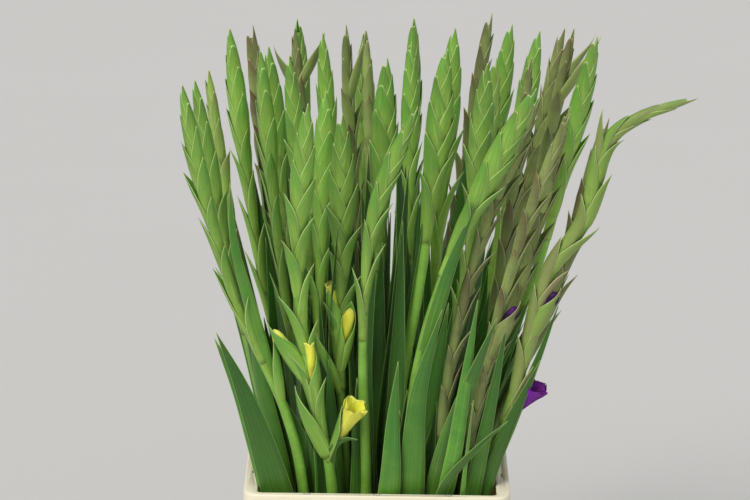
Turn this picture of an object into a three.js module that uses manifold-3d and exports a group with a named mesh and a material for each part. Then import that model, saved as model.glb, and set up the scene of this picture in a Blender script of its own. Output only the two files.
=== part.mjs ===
// Cut gladiolus: a flower bucket of budding gladiolus stems in water.
// Units are millimetres. The origin is at the centre of the bucket's underside, +Z is up,
// -Y is the front of the bunch and +X its right.
import * as THREE from 'three';
import { mergeVertices } from 'three/addons/utils/BufferGeometryUtils.js';
import Module from 'manifold-3d';

const wasm = await Module();
wasm.setup();

// Driving dimensions of the bucket
const BUCKET = {
  height: 340,
  baseHalf: [112, 127],
  topHalf: [130, 147],
  flangeHalf: [134, 151],
  flangeDrop: 18,
  flangeSlope: 3,
  flangeRounding: 2,
  wall: 3,
  cornerRadius: 14,
  cornerSteps: 3,
};
const RIM_MARK = { length: 7, width: 2.4, depth: 1.5, inset: 2.6 };
const RIM_MARKS_FRONT = [-70, 0, 72];
const RIM_MARKS_SIDE = [-62, 62];
const GAP = 0.3;
const WATER_TOP = 110;

// Driving dimensions of a stalk, from its cut foot to its tip
const FOOT_HEIGHT = BUCKET.wall + GAP;
const FOOT_SPREAD = 0.8;
const STRAIGHT_TO = 130;
const STALK_SIDES = 5;
const STALK_RADIUS = { foot: 6.6, rim: 5.8, spike: 5, top: 1.4 };
const STALK_STEPS = 3;
const BEND = { height: 0.46, reach: 0.56 };

// How the bracts sit on a spike: two ranks, each turned from the way the spike faces. The lowest
// ones are as many as on the real spike. Above them one larger bract stands for three.
const RANK_TURN = THREE.MathUtils.degToRad(52);
const COARSE = { step: 3, longer: 1.2, wider: 1.15 };
const HABITS = {
  tight: {
    length: 230, bracts: 15, fine: 0, crowding: 1.6, even: 0.4, long: [88, 34], wide: [24, 17], lean: [8, 4],
  },
  loose: {
    length: 380, bracts: 19, fine: 5, crowding: 2.6, even: 0.2, long: [82, 32], wide: [21, 14], lean: [16, 5],
  },
  dusky: {
    length: 300, bracts: 16, fine: 1, crowding: 2.0, even: 0.3, long: [76, 28], wide: [18, 12], lean: [13, 5],
  },
};
const BRACT = { waist: 0.36, keel: 0.46, fold: 0.16 };
const TOP_SINK = 9;

// A sword leaf is a flat blade that leaves its stalk low in the bucket. One that is given by its top
// height stands clear of the stalk by these shares of the clearance at these shares of its rise.
const BLADE = {
  thickness: 1.1, root: 4.2, tip: 1.6, taper: 1.8, steps: 5, widest: 0.3, clearance: 17, start: 230,
  standsOff: [[0, 0], [0.3, 1], [0.65, 1.1], [1, 1.1]],
};
// The way these leaves face, stem by stem (degrees from the front towards the right)
const LEAF_TURNS = [-32, 26, -18, 36, 12];

const FINISHES = {
  fresh: { color: 0x5f9a35, roughness: 0.55, metalness: 0 },
  dusky: { color: 0x6f7548, roughness: 0.55, metalness: 0 },
  bucket: { color: 0xf0e6cc, roughness: 0.45, metalness: 0 },
  water: { color: 0xb9d3d6, roughness: 0.1, metalness: 0 },
  yellow: { color: 0xe8d22c, roughness: 0.5, metalness: 0 },
  purple: { color: 0x4f1d78, roughness: 0.5, metalness: 0 },
};

// Every stem: where it crosses the rim, points that it bends through, its tip, the way its spike
// faces (degrees from the front towards the right), and its leaves. A leaf is given by the points
// that it passes above the height it starts from, or by its top height, its drift from the stalk at
// that height and the side of the stalk it rises on (-1 front, 1 back).
const STEMS = [
  {
    name: 'stem_a1', habit: 'loose', rim: [-76, -112], face: -12, length: 330,
    via: [[-92, -121, 415], [-142, -135, 540], [-175, -150, 669]], tip: [-192, -160, 765],
    leaves: [
      { from: 180, width: 34, points: [[-101, -130, 336], [-133, -132, 439], [-161, -134, 505]] },
      { from: 440, width: 13, points: [[-128, -143, 540], [-143, -156, 610], [-146, -160, 668]] },
    ],
  },
  {
    name: 'stem_a2', habit: 'loose', rim: [-46, -117], face: 4, length: 380,
    via: [[-66, -128, 444], [-80, -140, 560]], tip: [-72, -159, 748],
    leaves: [{ top: 470, drift: 20, side: 1, width: 22 }],
  },
  {
    name: 'stem_a3', habit: 'tight', rim: [-11, -112], face: 15,
    via: [[-16, -126, 500], [-6, -139, 632]], tip: [33, -150, 744],
    leaves: [
      { from: 200, width: 25, points: [[12, -139, 338], [15, -141, 420], [19, -143, 481]] },
      { top: 585, drift: 9, side: 1, width: 15 },
    ],
  },
  {
    name: 'stem_a4', habit: 'tight', rim: [30, -114], face: 18, length: 215,
    via: [[38, -129, 467], [68, -142, 587]], tip: [145, -162, 767],
    leaves: [
      { from: 200, width: 27, points: [[35, -130, 345], [38, -134, 440], [60, -146, 527]] },
      { from: 470, width: 20, points: [[66, -152, 580], [92, -160, 645]] },
    ],
  },
  {
    name: 'stem_a5', habit: 'dusky', rim: [60, -110], face: 10,
    via: [[73, -121, 480], [98, -127, 600]], tip: [152, -130, 752],
    leaves: [
      { from: 210, width: 26, points: [[64, -128, 354], [82, -138, 430], [115, -155, 532]] },
      { from: 250, width: 11, points: [[67, -138, 345], [96, -142, 386], [129, -144, 420]] },
    ],
  },
  {
    name: 'stem_a6', habit: 'dusky', rim: [88, -112], face: 16,
    via: [[107, -125, 470], [134, -143, 600]], tip: [178, -158, 742],
    leaves: [{ from: 220, width: 17, points: [[97, -127, 340], [112, -132, 430], [126, -143, 526]] }],
  },
  {
    name: 'stem_a7', habit: 'loose', rim: [108, -104], face: 20, length: 365, steps: 11,
    via: [[134, -117, 432], [167, -131, 574], [199, -137, 629], [217, -145, 709], [245, -149, 735]],
    tip: [301, -152, 757],
    leaves: [{ from: 220, width: 20, points: [[106, -120, 331], [128, -126, 400], [160, -136, 482]] }],
  },
  {
    name: 'stem_b1', habit: 'loose', rim: [-100, -70], face: -20, length: 300,
    via: [[-122, -76, 430], [-155, -88, 587]], tip: [-184, -100, 754],
    leaves: [{ top: 560, drift: 16, side: -1, width: 22 }],
  },
  {
    name: 'stem_b2', habit: 'tight', rim: [-66, -68], face: -6,
    via: [], tip: [-56, -76, 738],
    leaves: [{ top: 600, drift: -24, side: -1, width: 22 }],
  },
  {
    name: 'stem_b3', habit: 'loose', rim: [-32, -74], face: -4, length: 300,
    via: [[-40, -84, 460], [-38, -99, 581]], tip: [-40, -116, 726],
    leaves: [{ top: 560, drift: 12, side: 1, width: 24 }],
  },
  {
    name: 'stem_b4', habit: 'tight', rim: [17, -70], face: 8, length: 220,
    via: [[24, -77, 437], [38, -84, 536], [49, -91, 632]], tip: [61, -101, 789],
    leaves: [{ top: 616, drift: -26, side: -1, width: 22 }],
  },
  {
    name: 'stem_b5', habit: 'tight', rim: [46, -70], face: 12, length: 215,
    via: [[77, -79, 470], [91, -88, 601]], tip: [101, -100, 775],
    leaves: [{ top: 545, drift: 8, side: -1, width: 18 }],
  },
  {
    name: 'stem_b6', habit: 'dusky', rim: [74, -68], face: 24,
    via: [], tip: [182, -98, 732],
    leaves: [{ top: 540, drift: -14, side: 1, width: 22 }],
  },
  {
    name: 'stem_b7', habit: 'dusky', rim: [104, -68], face: 18, length: 270,
    via: [], tip: [220, -98, 722],
    leaves: [{ top: 500, drift: 8, side: 1, width: 22 }],
  },
  {
    name: 'stem_c1', habit: 'dusky', rim: [-104, -26], face: -24,
    via: [], tip: [-174, -38, 748],
    leaves: [{ top: 520, drift: -16, side: 1, width: 24 }],
  },
  {
    name: 'stem_c2', habit: 'tight', rim: [-72, -24], face: -12, length: 230,
    via: [], tip: [-122, -36, 768],
    leaves: [{ top: 590, drift: 22, side: -1, width: 26 }],
  },
  {
    name: 'stem_c3', habit: 'tight', rim: [-38, -28], face: -4, length: 230,
    via: [], tip: [-94, -40, 764],
    leaves: [{ top: 600, drift: 30, side: -1, width: 26 }],
  },
  {
    name: 'stem_c4', habit: 'tight', rim: [-6, -26], face: 2, length: 225,
    via: [], tip: [3, -36, 763],
    leaves: [{ top: 575, drift: 2, side: -1, width: 26 }],
  },
  {
    name: 'stem_c5', habit: 'tight', rim: [30, -24], face: 10,
    via: [], tip: [27, -34, 779],
    leaves: [{ top: 600, drift: 14, side: -1, width: 24 }],
  },
  {
    name: 'stem_c6', habit: 'tight', rim: [64, -24], face: 14,
    via: [], tip: [112, -36, 764],
    leaves: [{ top: 520, drift: -12, side: -1, width: 26 }],
  },
  {
    name: 'stem_c7', habit: 'dusky', rim: [92, -26], face: 6,
    via: [], tip: [146, -38, 765],
    leaves: [{ top: 540, drift: -12, side: 1, width: 22 }],
  },
  {
    name: 'stem_d1', habit: 'tight', rim: [-90, 20], face: -10, length: 240,
    via: [], tip: [-156, 30, 774],
    leaves: [{ top: 560, drift: 12, side: -1, width: 26 }],
  },
  {
    name: 'stem_d2', habit: 'tight', rim: [-58, 20], face: -20,
    via: [], tip: [-117, 30, 756],
    leaves: [{ top: 610, drift: 24, side: -1, width: 24 }],
  },
  {
    name: 'stem_d3', habit: 'tight', rim: [-24, 22], face: 5,
    via: [], tip: [-62, 28, 772],
    leaves: [{ top: 620, drift: 20, side: 1, width: 26 }],
  },
  {
    name: 'stem_d4', habit: 'dusky', rim: [8, 20], face: 70, length: 230,
    via: [], tip: [-18, 30, 774],
    leaves: [{ top: 600, drift: 14, side: -1, width: 26 }],
  },
  {
    name: 'stem_d5', habit: 'tight', rim: [42, 20], face: 8,
    via: [], tip: [72, 30, 778],
    leaves: [{ top: 590, drift: -14, side: -1, width: 26 }],
  },
  {
    name: 'stem_d6', habit: 'tight', rim: [74, 20], face: 14,
    via: [], tip: [158, 32, 776],
    leaves: [{ top: 560, drift: -16, side: -1, width: 24 }],
  },
  {
    name: 'stem_d7', habit: 'tight', rim: [104, 20], face: 26, length: 220,
    via: [], tip: [216, 28, 772],
    leaves: [{ top: 570, drift: -20, side: -1, width: 24 }],
  },
  {
    name: 'stem_e1', habit: 'dusky', rim: [-76, 66], face: 200,
    via: [], tip: [-138, 94, 762],
    leaves: [{ top: 560, drift: 14, side: 1, width: 26 }],
  },
  {
    name: 'stem_e2', habit: 'dusky', rim: [-40, 66], face: -30, length: 240,
    via: [], tip: [-92, 94, 760],
    leaves: [{ top: 600, drift: 20, side: 1, width: 26 }],
  },
  {
    name: 'stem_e3', habit: 'dusky', rim: [-6, 66], face: 30, length: 230,
    via: [], tip: [-40, 94, 764],
    leaves: [{ top: 580, drift: 20, side: 1, width: 28 }],
  },
  {
    name: 'stem_e4', habit: 'tight', rim: [28, 66], face: 60,
    via: [], tip: [31, 94, 772],
    leaves: [{ top: 610, drift: 10, side: 1, width: 26 }],
  },
  {
    name: 'stem_e5', habit: 'tight', rim: [62, 66], face: 10,
    via: [], tip: [132, 92, 768],
    leaves: [{ top: 560, drift: -16, side: 1, width: 26 }],
  },
  {
    name: 'stem_e6', habit: 'dusky', rim: [94, 66], face: 150,
    via: [], tip: [196, 92, 764],
    leaves: [{ top: 540, drift: -16, side: 1, width: 24 }],
  },
  {
    name: 'stem_f1', habit: 'tight', rim: [-70, 110], face: 175,
    via: [], tip: [-90, 156, 754],
    leaves: [{ top: 560, drift: -18, side: 1, width: 30 }],
  },
  {
    name: 'stem_f2', habit: 'tight', rim: [-10, 110], face: 170,
    via: [], tip: [-20, 154, 740],
    leaves: [{ top: 540, drift: -20, side: 1, width: 28 }],
  },
  {
    name: 'stem_f3', habit: 'dusky', rim: [40, 108], face: 175,
    via: [], tip: [112, 156, 764],
    leaves: [{ top: 540, drift: -14, side: 1, width: 28 }],
  },
  {
    name: 'stem_f4', habit: 'dusky', rim: [84, 106], face: 165,
    via: [], tip: [190, 150, 750],
    leaves: [{ top: 520, drift: -18, side: 1, width: 26 }],
  },
];

// Buds that show their colour in the tip of one of the bracts, counted from the lowest
const BUDS = [
  { name: 'yellow_bud_1', colour: 'yellow', stem: 'stem_a2', bract: 1 },
  { name: 'yellow_bud_2', colour: 'yellow', stem: 'stem_a2', bract: 2 },
  { name: 'yellow_bud_3', colour: 'yellow', stem: 'stem_b3', bract: 1 },
  { name: 'yellow_bud_4', colour: 'yellow', stem: 'stem_b3', bract: 2 },
  { name: 'purple_bud_1', colour: 'purple', stem: 'stem_a7', bract: 1 },
  { name: 'purple_bud_2', colour: 'purple', stem: 'stem_a6', bract: 1 },
];
const BUD = { cut: 0.66, waist: 0.8, end: 1.06, radius: [3.6, 4.6, 0.9], sides: 6 };

// Opened flowers, each in a short bract of its own: the height of that bract, the way it points
// (degrees from the front towards the right) and how far it leans from the stalk (degrees)
const FLOWERS = [
  { name: 'yellow_flower', colour: 'yellow', stem: 'stem_a2', height: 362, turn: 62, lean: 36, size: 1 },
  { name: 'purple_flower', colour: 'purple', stem: 'stem_a7', height: 394, turn: 84, lean: 36, size: 0.75 },
];
const FLOWER_BRACT = { length: 52, width: 17, cut: 0.5 };
const FUNNEL = {
  sides: 12,
  outer: [[0, 3.4], [15, 6.4], [34, 13.5]],
  inner: [[34, 12.6], [16, 5.2]],
  floor: [8, 0.6],
  lobe: 5,
  flare: 0.24,
};

// How finely points are welded, a curve's length is measured and a height is searched for
const WELD = 1e-4;
const LENGTH_STEPS = 400;
const SEARCH_STEPS = 30;

const UP = new THREE.Vector3(0, 0, 1);
const toRadians = THREE.MathUtils.degToRad;

/** A number between the two ends of a range. */
function between([first, last], share) {
  return first + (last - first) * share;
}

/** The horizontal direction that lies an angle to the right of the front. */
function facing(angle) {
  return new THREE.Vector3(Math.sin(angle), -Math.cos(angle), 0);
}

/**
 * Joins rings of equally many points into one closed body. The back face of a thin blade is split
 * into triangles like its front.
 */
function loft(rings, blade = false) {
  const sides = rings[0].length;
  const points = rings.flat();
  const index = [];
  for (let ring = 0; ring + 1 < rings.length; ring += 1) {
    for (let side = 0; side < sides; side += 1) {
      const next = (side + 1) % sides;
      const a = ring * sides + side;
      const b = ring * sides + next;
      const c = a + sides;
      const d = b + sides;
      if (blade && side >= sides / 2) {
        index.push(a, b, c, b, d, c);
      } else {
        index.push(a, b, d, a, d, c);
      }
    }
  }
  const last = (rings.length - 1) * sides;
  for (let side = 1; side + 1 < sides; side += 1) {
    index.push(0, side + 1, side);
    index.push(last, last + side, last + side + 1);
  }
  const geometry = new THREE.BufferGeometry().setFromPoints(points);
  geometry.setIndex(index);
  return geometry;
}

/** The solid that a closed geometry bounds. */
function solid(geometry) {
  const bare = geometry.clone();
  bare.deleteAttribute('normal');
  bare.deleteAttribute('uv');
  const merged = mergeVertices(bare, WELD);
  const mesh = new wasm.Mesh({
    numProp: 3,
    vertProperties: new Float32Array(merged.attributes.position.array),
    triVerts: new Uint32Array(merged.index.array),
  });
  return new wasm.Manifold(mesh);
}

/** The geometry of a solid. */
function geometryOf(body) {
  const mesh = body.getMesh();
  const geometry = new THREE.BufferGeometry();
  geometry.setAttribute('position', new THREE.BufferAttribute(new Float32Array(mesh.vertProperties), 3));
  geometry.setIndex(new THREE.BufferAttribute(new Uint32Array(mesh.triVerts), 1));
  geometry.computeVertexNormals();
  return geometry;
}

/** One solid grown together from several closed geometries. */
function fuse(geometries) {
  return geometries.map(solid).reduce((whole, piece) => whole.add(piece));
}

/** A ring of a rounded rectangle at one height. */
function roundedRing(halfX, halfY, radius, height) {
  const ring = [];
  for (let corner = 0; corner < 4; corner += 1) {
    const signX = corner === 0 || corner === 3 ? 1 : -1;
    const signY = corner < 2 ? 1 : -1;
    for (let step = 0; step <= BUCKET.cornerSteps; step += 1) {
      const angle = (corner + step / BUCKET.cornerSteps) * Math.PI / 2;
      const x = signX * (halfX - radius) + radius * Math.cos(angle);
      const y = signY * (halfY - radius) + radius * Math.sin(angle);
      ring.push(new THREE.Vector3(x, y, height));
    }
  }
  return ring;
}

/** The half sizes of the bucket's outer wall at a height. */
function wallHalf(height) {
  const share = height / (BUCKET.height - BUCKET.flangeDrop);
  return [0, 1].map((axis) => between([BUCKET.baseHalf[axis], BUCKET.topHalf[axis]], share));
}

/** The bucket: a tapered shell with a flange round its mouth and small moulded marks in the flange. */
function bucketGeometry() {
  const { height, flangeHalf, flangeDrop, flangeSlope, flangeRounding, wall, cornerRadius } = BUCKET;
  const under = height - flangeDrop;
  const flangeRadius = cornerRadius + flangeRounding;
  const inner = (level) => wallHalf(level).map((half) => half - wall);
  const rings = [
    roundedRing(...wallHalf(0), cornerRadius, 0),
    roundedRing(...wallHalf(under), cornerRadius, under),
    roundedRing(...flangeHalf, flangeRadius, under + flangeSlope),
    roundedRing(...flangeHalf, flangeRadius, height),
    roundedRing(...inner(height), cornerRadius - wall, height),
    roundedRing(...inner(wall), cornerRadius - wall, wall),
  ];
  let shell = solid(loft(rings));
  const markAt = (x, y, alongX) => {
    const { length, width, depth } = RIM_MARK;
    const size = alongX ? [length, width] : [width, length];
    return solid(new THREE.BoxGeometry(...size, depth * 2).translate(x, y, height));
  };
  for (const sign of [-1, 1]) {
    for (const x of RIM_MARKS_FRONT) {
      shell = shell.subtract(markAt(x, sign * (flangeHalf[1] - RIM_MARK.inset), true));
    }
    for (const y of RIM_MARKS_SIDE) {
      shell = shell.subtract(markAt(sign * (flangeHalf[0] - RIM_MARK.inset), y, false));
    }
  }
  return geometryOf(shell);
}

/** The centre line of a stem, straight in the water, then bending through its points to the tip. */
function stemPath(stem) {
  const rim = new THREE.Vector3(...stem.rim, BUCKET.height);
  const foot = new THREE.Vector3(stem.rim[0] * FOOT_SPREAD, stem.rim[1] * FOOT_SPREAD, FOOT_HEIGHT);
  const tip = new THREE.Vector3(...stem.tip);
  const straight = (STRAIGHT_TO - FOOT_HEIGHT) / (BUCKET.height - FOOT_HEIGHT);
  const points = [foot, foot.clone().lerp(rim, straight), rim];
  if (stem.via.length > 0) {
    points.push(...stem.via.map((point) => new THREE.Vector3(...point)));
  } else {
    const bend = rim.clone().lerp(tip, BEND.reach);
    bend.z = between([rim.z, tip.z], BEND.height);
    points.push(bend);
  }
  points.push(tip);
  const path = new THREE.CatmullRomCurve3(points, false, 'centripetal');
  path.arcLengthDivisions = LENGTH_STEPS;
  return path;
}

/** The share of a path's length at which it reaches a height. */
function shareAt(path, height) {
  let low = 0;
  let high = 1;
  for (let step = 0; step < SEARCH_STEPS; step += 1) {
    const middle = (low + high) / 2;
    if (path.getPointAt(middle).z < height) {
      low = middle;
    } else {
      high = middle;
    }
  }
  return (low + high) / 2;
}

/** A many-sided ring round a point, square to a direction. */
function ringAround(centre, tangent, front, radius, sides) {
  const right = new THREE.Vector3().crossVectors(tangent, front).normalize();
  const ahead = new THREE.Vector3().crossVectors(right, tangent).normalize();
  const ring = [];
  for (let side = 0; side < sides; side += 1) {
    const angle = side / sides * Math.PI * 2;
    const out = ahead.clone().multiplyScalar(Math.cos(angle));
    out.addScaledVector(right, -Math.sin(angle));
    ring.push(centre.clone().addScaledVector(out, radius));
  }
  return ring.reverse();
}

/** The stalk of a stem, thinning from its cut foot to the top of the spike. */
function stalkGeometry({ path, spikeStart, spikeEnd, front, via, steps = STALK_STEPS + via.length }) {
  const rimShare = shareAt(path, BUCKET.height);
  const shares = [0, rimShare];
  for (let step = 1; step <= steps; step += 1) {
    shares.push(between([rimShare, spikeEnd], step / steps));
  }
  const radiusAt = (share) => {
    if (share < rimShare) {
      return between([STALK_RADIUS.foot, STALK_RADIUS.rim], share / rimShare);
    }
    if (share < spikeStart) {
      const part = (share - rimShare) / (spikeStart - rimShare);
      return between([STALK_RADIUS.rim, STALK_RADIUS.spike], part);
    }
    return between([STALK_RADIUS.spike, STALK_RADIUS.top], (share - spikeStart) / (1 - spikeStart));
  };
  const rings = shares.map((share) => {
    const tangent = path.getTangentAt(share);
    return ringAround(path.getPointAt(share), tangent, facing(front), radiusAt(share), STALK_SIDES);
  });
  rings[0].forEach((point) => point.setZ(FOOT_HEIGHT));
  return loft(rings);
}

/** The directions of a bract: along it, across it and out through its keel. */
function bractAxes(tangent, outward, lean) {
  const along = tangent.clone().multiplyScalar(Math.cos(lean)).addScaledVector(outward, Math.sin(lean));
  const keel = outward.clone().multiplyScalar(Math.cos(lean)).addScaledVector(tangent, -Math.sin(lean));
  return { along, keel, across: new THREE.Vector3().crossVectors(along, keel) };
}

/**
 * One bract: a folded boat with its keel outwards and its root inside the stalk. It ends in a point,
 * or is cut short.
 */
function bractGeometry({ root, axes, length, width, cut }) {
  const section = (share, size) => [[0.5, -BRACT.fold], [-0.5, -BRACT.fold], [0, BRACT.keel]]
    .map(([side, out]) => root.clone()
      .addScaledVector(axes.along, length * share)
      .addScaledVector(axes.across, width * size * side)
      .addScaledVector(axes.keel, width * size * out));
  const waist = section(BRACT.waist, 1);
  const index = [0, 2, 1, 0, 3, 2, 0, 1, 3];
  const points = [root, ...waist];
  if (cut) {
    points.push(...section(cut, (1 - cut) / (1 - BRACT.waist)));
    index.push(1, 2, 5, 1, 5, 4, 2, 3, 6, 2, 6, 5, 3, 1, 4, 3, 4, 6, 4, 5, 6);
  } else {
    points.push(root.clone().addScaledVector(axes.along, length));
    index.push(4, 1, 2, 4, 2, 3, 4, 3, 1);
  }
  const geometry = new THREE.BufferGeometry().setFromPoints(points);
  geometry.setIndex(index);
  return geometry;
}

/** The numbers of the bracts that a spike shows, counted from the lowest. */
function bractNumbers({ bracts, fine }) {
  const numbers = [];
  for (let number = 0; number < bracts; number += number < fine ? 1 : COARSE.step) {
    numbers.push(number);
  }
  return numbers;
}

/** One bract of a spike, by its number from the lowest: where it stands, its directions and its size. */
function bractAt(stem, number) {
  const { habit, path, front } = stem;
  const progress = number / habit.bracts;
  const height = (1 - habit.even) * (1 - (1 - progress) ** habit.crowding) + habit.even * progress;
  const share = between([stem.spikeStart, stem.spikeEnd], height);
  const tangent = path.getTangentAt(share);
  const outward = facing(front + (number % 2 === 0 ? -RANK_TURN : RANK_TURN));
  outward.addScaledVector(tangent, -outward.dot(tangent)).normalize();
  const coarse = number >= habit.fine;
  const length = between(habit.long, progress) * (coarse ? COARSE.longer : 1);
  const bud = BUDS.find((one) => one.stem === stem.name && one.bract === number);
  return {
    root: path.getPointAt(share),
    axes: bractAxes(tangent, outward, toRadians(between(habit.lean, progress))),
    length: Math.min(length, (1 - share) * path.getLength()),
    width: between(habit.wide, progress) * (coarse ? COARSE.wider : 1),
    cut: bud && BUD.cut,
  };
}

/** The bract on the axis that closes the tip of a spike. */
function topBract({ habit, path, front, spikeEnd }) {
  const tangent = path.getTangentAt(spikeEnd);
  const root = path.getPointAt(spikeEnd).addScaledVector(tangent, -TOP_SINK);
  const length = (1 - spikeEnd) * path.getLength() + TOP_SINK;
  return { root, axes: bractAxes(tangent, facing(front), 0), length, width: habit.wide[1] };
}

/** The short bract that an opened flower stands in. */
function flowerBract(flower, path) {
  const share = shareAt(path, flower.height);
  const tangent = path.getTangentAt(share);
  const outward = facing(toRadians(flower.turn));
  outward.addScaledVector(tangent, -outward.dot(tangent)).normalize();
  const axes = bractAxes(tangent, outward, toRadians(flower.lean));
  return { root: path.getPointAt(share), axes, ...FLOWER_BRACT };
}

/** Every bract of a stem. */
function bractsOf(stem) {
  const bracts = bractNumbers(stem.habit).map((number) => bractAt(stem, number));
  const flowers = FLOWERS.filter((flower) => flower.stem === stem.name);
  return [...bracts, topBract(stem), ...flowers.map((flower) => flowerBract(flower, stem.path))];
}

/** A bud: a slim spindle that stands just clear of the cut end of its bract. */
function budGeometry(bract) {
  const heights = [bract.cut * bract.length + GAP, BUD.waist * bract.length, BUD.end * bract.length];
  const rings = heights.map((height, number) => {
    const centre = bract.root.clone().addScaledVector(bract.axes.along, height);
    return ringAround(centre, bract.axes.along, bract.axes.keel, BUD.radius[number], BUD.sides);
  });
  return geometryOf(solid(loft(rings)));
}

/** An opened flower: a funnel of six tepals with pointed lobes, just clear of the cut end of its bract. */
function flowerGeometry(bract, size) {
  const base = bract.root.clone().addScaledVector(bract.axes.along, bract.cut * bract.length + GAP);
  const ring = (height, radius, lobe) => {
    const centre = base.clone().addScaledVector(bract.axes.along, height * size);
    const points = ringAround(centre, bract.axes.along, bract.axes.keel, radius * size, FUNNEL.sides);
    return points.map((point, side) => {
      const swing = side % 2 === 0 ? lobe : -lobe;
      const out = point.clone().sub(centre).normalize();
      point.addScaledVector(bract.axes.along, swing * size);
      return point.addScaledVector(out, swing * size * FUNNEL.flare);
    });
  };
  const [seat, throat, mouth] = FUNNEL.outer;
  const [inMouth, inThroat] = FUNNEL.inner;
  return geometryOf(solid(loft([
    ring(...seat, 0),
    ring(...throat, 0),
    ring(...mouth, FUNNEL.lobe),
    ring(...inMouth, FUNNEL.lobe),
    ring(...inThroat, 0),
    ring(...FUNNEL.floor, 0),
  ])));
}

/** The points that a leaf passes, from inside its stalk to its tip. */
function leafPoints(leaf, path) {
  if (leaf.points) {
    const root = path.getPointAt(shareAt(path, leaf.from));
    return [root, ...leaf.points.map((point) => new THREE.Vector3(...point))];
  }
  const rise = leaf.top - BLADE.start;
  return BLADE.standsOff.map(([share, clear]) => {
    const point = path.getPointAt(shareAt(path, BLADE.start + rise * share));
    point.x += leaf.drift * share ** 2;
    point.y += leaf.side * BLADE.clearance * clear;
    return point;
  });
}

/** A sword leaf: a thin flat blade that widens from its root and narrows to its tip. */
function leafGeometry(leaf, path, turn) {
  const line = new THREE.CatmullRomCurve3(leafPoints(leaf, path), false, 'centripetal');
  const rings = [];
  for (let step = 0; step <= BLADE.steps; step += 1) {
    const share = step / BLADE.steps;
    const centre = line.getPointAt(share);
    const tangent = line.getTangentAt(share);
    const across = new THREE.Vector3().crossVectors(tangent, facing(turn)).normalize();
    const face = new THREE.Vector3().crossVectors(across, tangent).normalize();
    const half = halfWidth(share, leaf.width);
    const corner = (side, depth) => centre.clone()
      .addScaledVector(across, side * half)
      .addScaledVector(face, depth * BLADE.thickness / 2);
    rings.push([corner(-1, 1), corner(1, 1), corner(1, -1), corner(-1, -1)]);
  }
  return loft(rings, true);
}

/** Half the width of a blade at a share of its length. */
function halfWidth(share, width) {
  const full = width / 2;
  if (share < BLADE.widest) {
    return between([BLADE.root, full], share / BLADE.widest);
  }
  const rest = (share - BLADE.widest) / (1 - BLADE.widest);
  return between([full, BLADE.tip / 2], rest ** BLADE.taper);
}

/** One leafy stem: stalk, bracts and leaves grown together. */
function stemGeometry(stem) {
  const pieces = [stalkGeometry(stem), ...bractsOf(stem).map(bractGeometry)];
  for (const leaf of stem.leaves) {
    const turn = leaf.points ? 0 : LEAF_TURNS[stem.order % LEAF_TURNS.length];
    pieces.push(leafGeometry(leaf, stem.path, toRadians(turn)));
  }
  return geometryOf(fuse(pieces));
}

/** The water: a block that fills the bucket's foot, with a plain hole round each stalk. */
function waterGeometry(stems) {
  const ring = (level) => {
    const [halfX, halfY] = wallHalf(level).map((half) => half - BUCKET.wall - GAP);
    return roundedRing(halfX, halfY, BUCKET.cornerRadius - BUCKET.wall, level);
  };
  let block = solid(loft([ring(BUCKET.wall + GAP), ring(WATER_TOP)]));
  for (const { path, front } of stems) {
    const ends = [path.getPointAt(0), path.getPointAt(shareAt(path, STRAIGHT_TO))];
    const slope = ends[1].clone().sub(ends[0]).divideScalar(ends[1].z - ends[0].z);
    ends[0].addScaledVector(slope, -ends[0].z);
    const holeRadius = STALK_RADIUS.foot + 2 * GAP;
    const hole = ends.map((centre) => ringAround(centre, UP, facing(front), holeRadius, STALK_SIDES));
    block = block.subtract(solid(loft(hole)));
  }
  return geometryOf(block);
}

/** A named sub-part in a material of its own. */
function part(name, geometry, finish) {
  const material = new THREE.MeshStandardMaterial(finish);
  const mesh = new THREE.Mesh(geometry, material);
  mesh.name = name;
  return mesh;
}

/** A stem with its path, its direction and where its spike starts and ends along the path. */
function grow(stem, order) {
  const path = stemPath(stem);
  const habit = HABITS[stem.habit];
  const reach = path.getLength();
  const spikeStart = 1 - (stem.length ?? habit.length) / reach;
  const spikeEnd = 1 - habit.long[1] / reach;
  return { ...stem, order, path, habit, front: toRadians(stem.face), spikeStart, spikeEnd };
}

const group = new THREE.Group();
const stems = STEMS.map(grow);
const stemOf = (item) => stems.find((stem) => stem.name === item.stem);
group.add(part('bucket', bucketGeometry(), FINISHES.bucket));
group.add(part('water', waterGeometry(stems), FINISHES.water));
for (const stem of stems) {
  const finish = stem.habit === HABITS.dusky ? FINISHES.dusky : FINISHES.fresh;
  group.add(part(stem.name, stemGeometry(stem), finish));
}
for (const bud of BUDS) {
  group.add(part(bud.name, budGeometry(bractAt(stemOf(bud), bud.bract)), FINISHES[bud.colour]));
}
for (const flower of FLOWERS) {
  const bract = flowerBract(flower, stemOf(flower).path);
  group.add(part(flower.name, flowerGeometry(bract, flower.size), FINISHES[flower.colour]));
}

export default group;
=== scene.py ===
"""Cut gladiolus: budding spikes with sword leaves, standing in water in a cream flower bucket.

Sizes in the tables and classes are in millimetres and degrees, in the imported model's frame: the
origin is at the centre of the bucket's underside, +Z is up, -Y is the front and +X the right.
Meshes are made in metres.
"""

import logging
import math
from collections.abc import Callable, Sequence
from dataclasses import dataclass
from enum import Enum
from typing import ClassVar

import bpy
import numpy as np
from mathutils import Matrix, Vector


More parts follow.
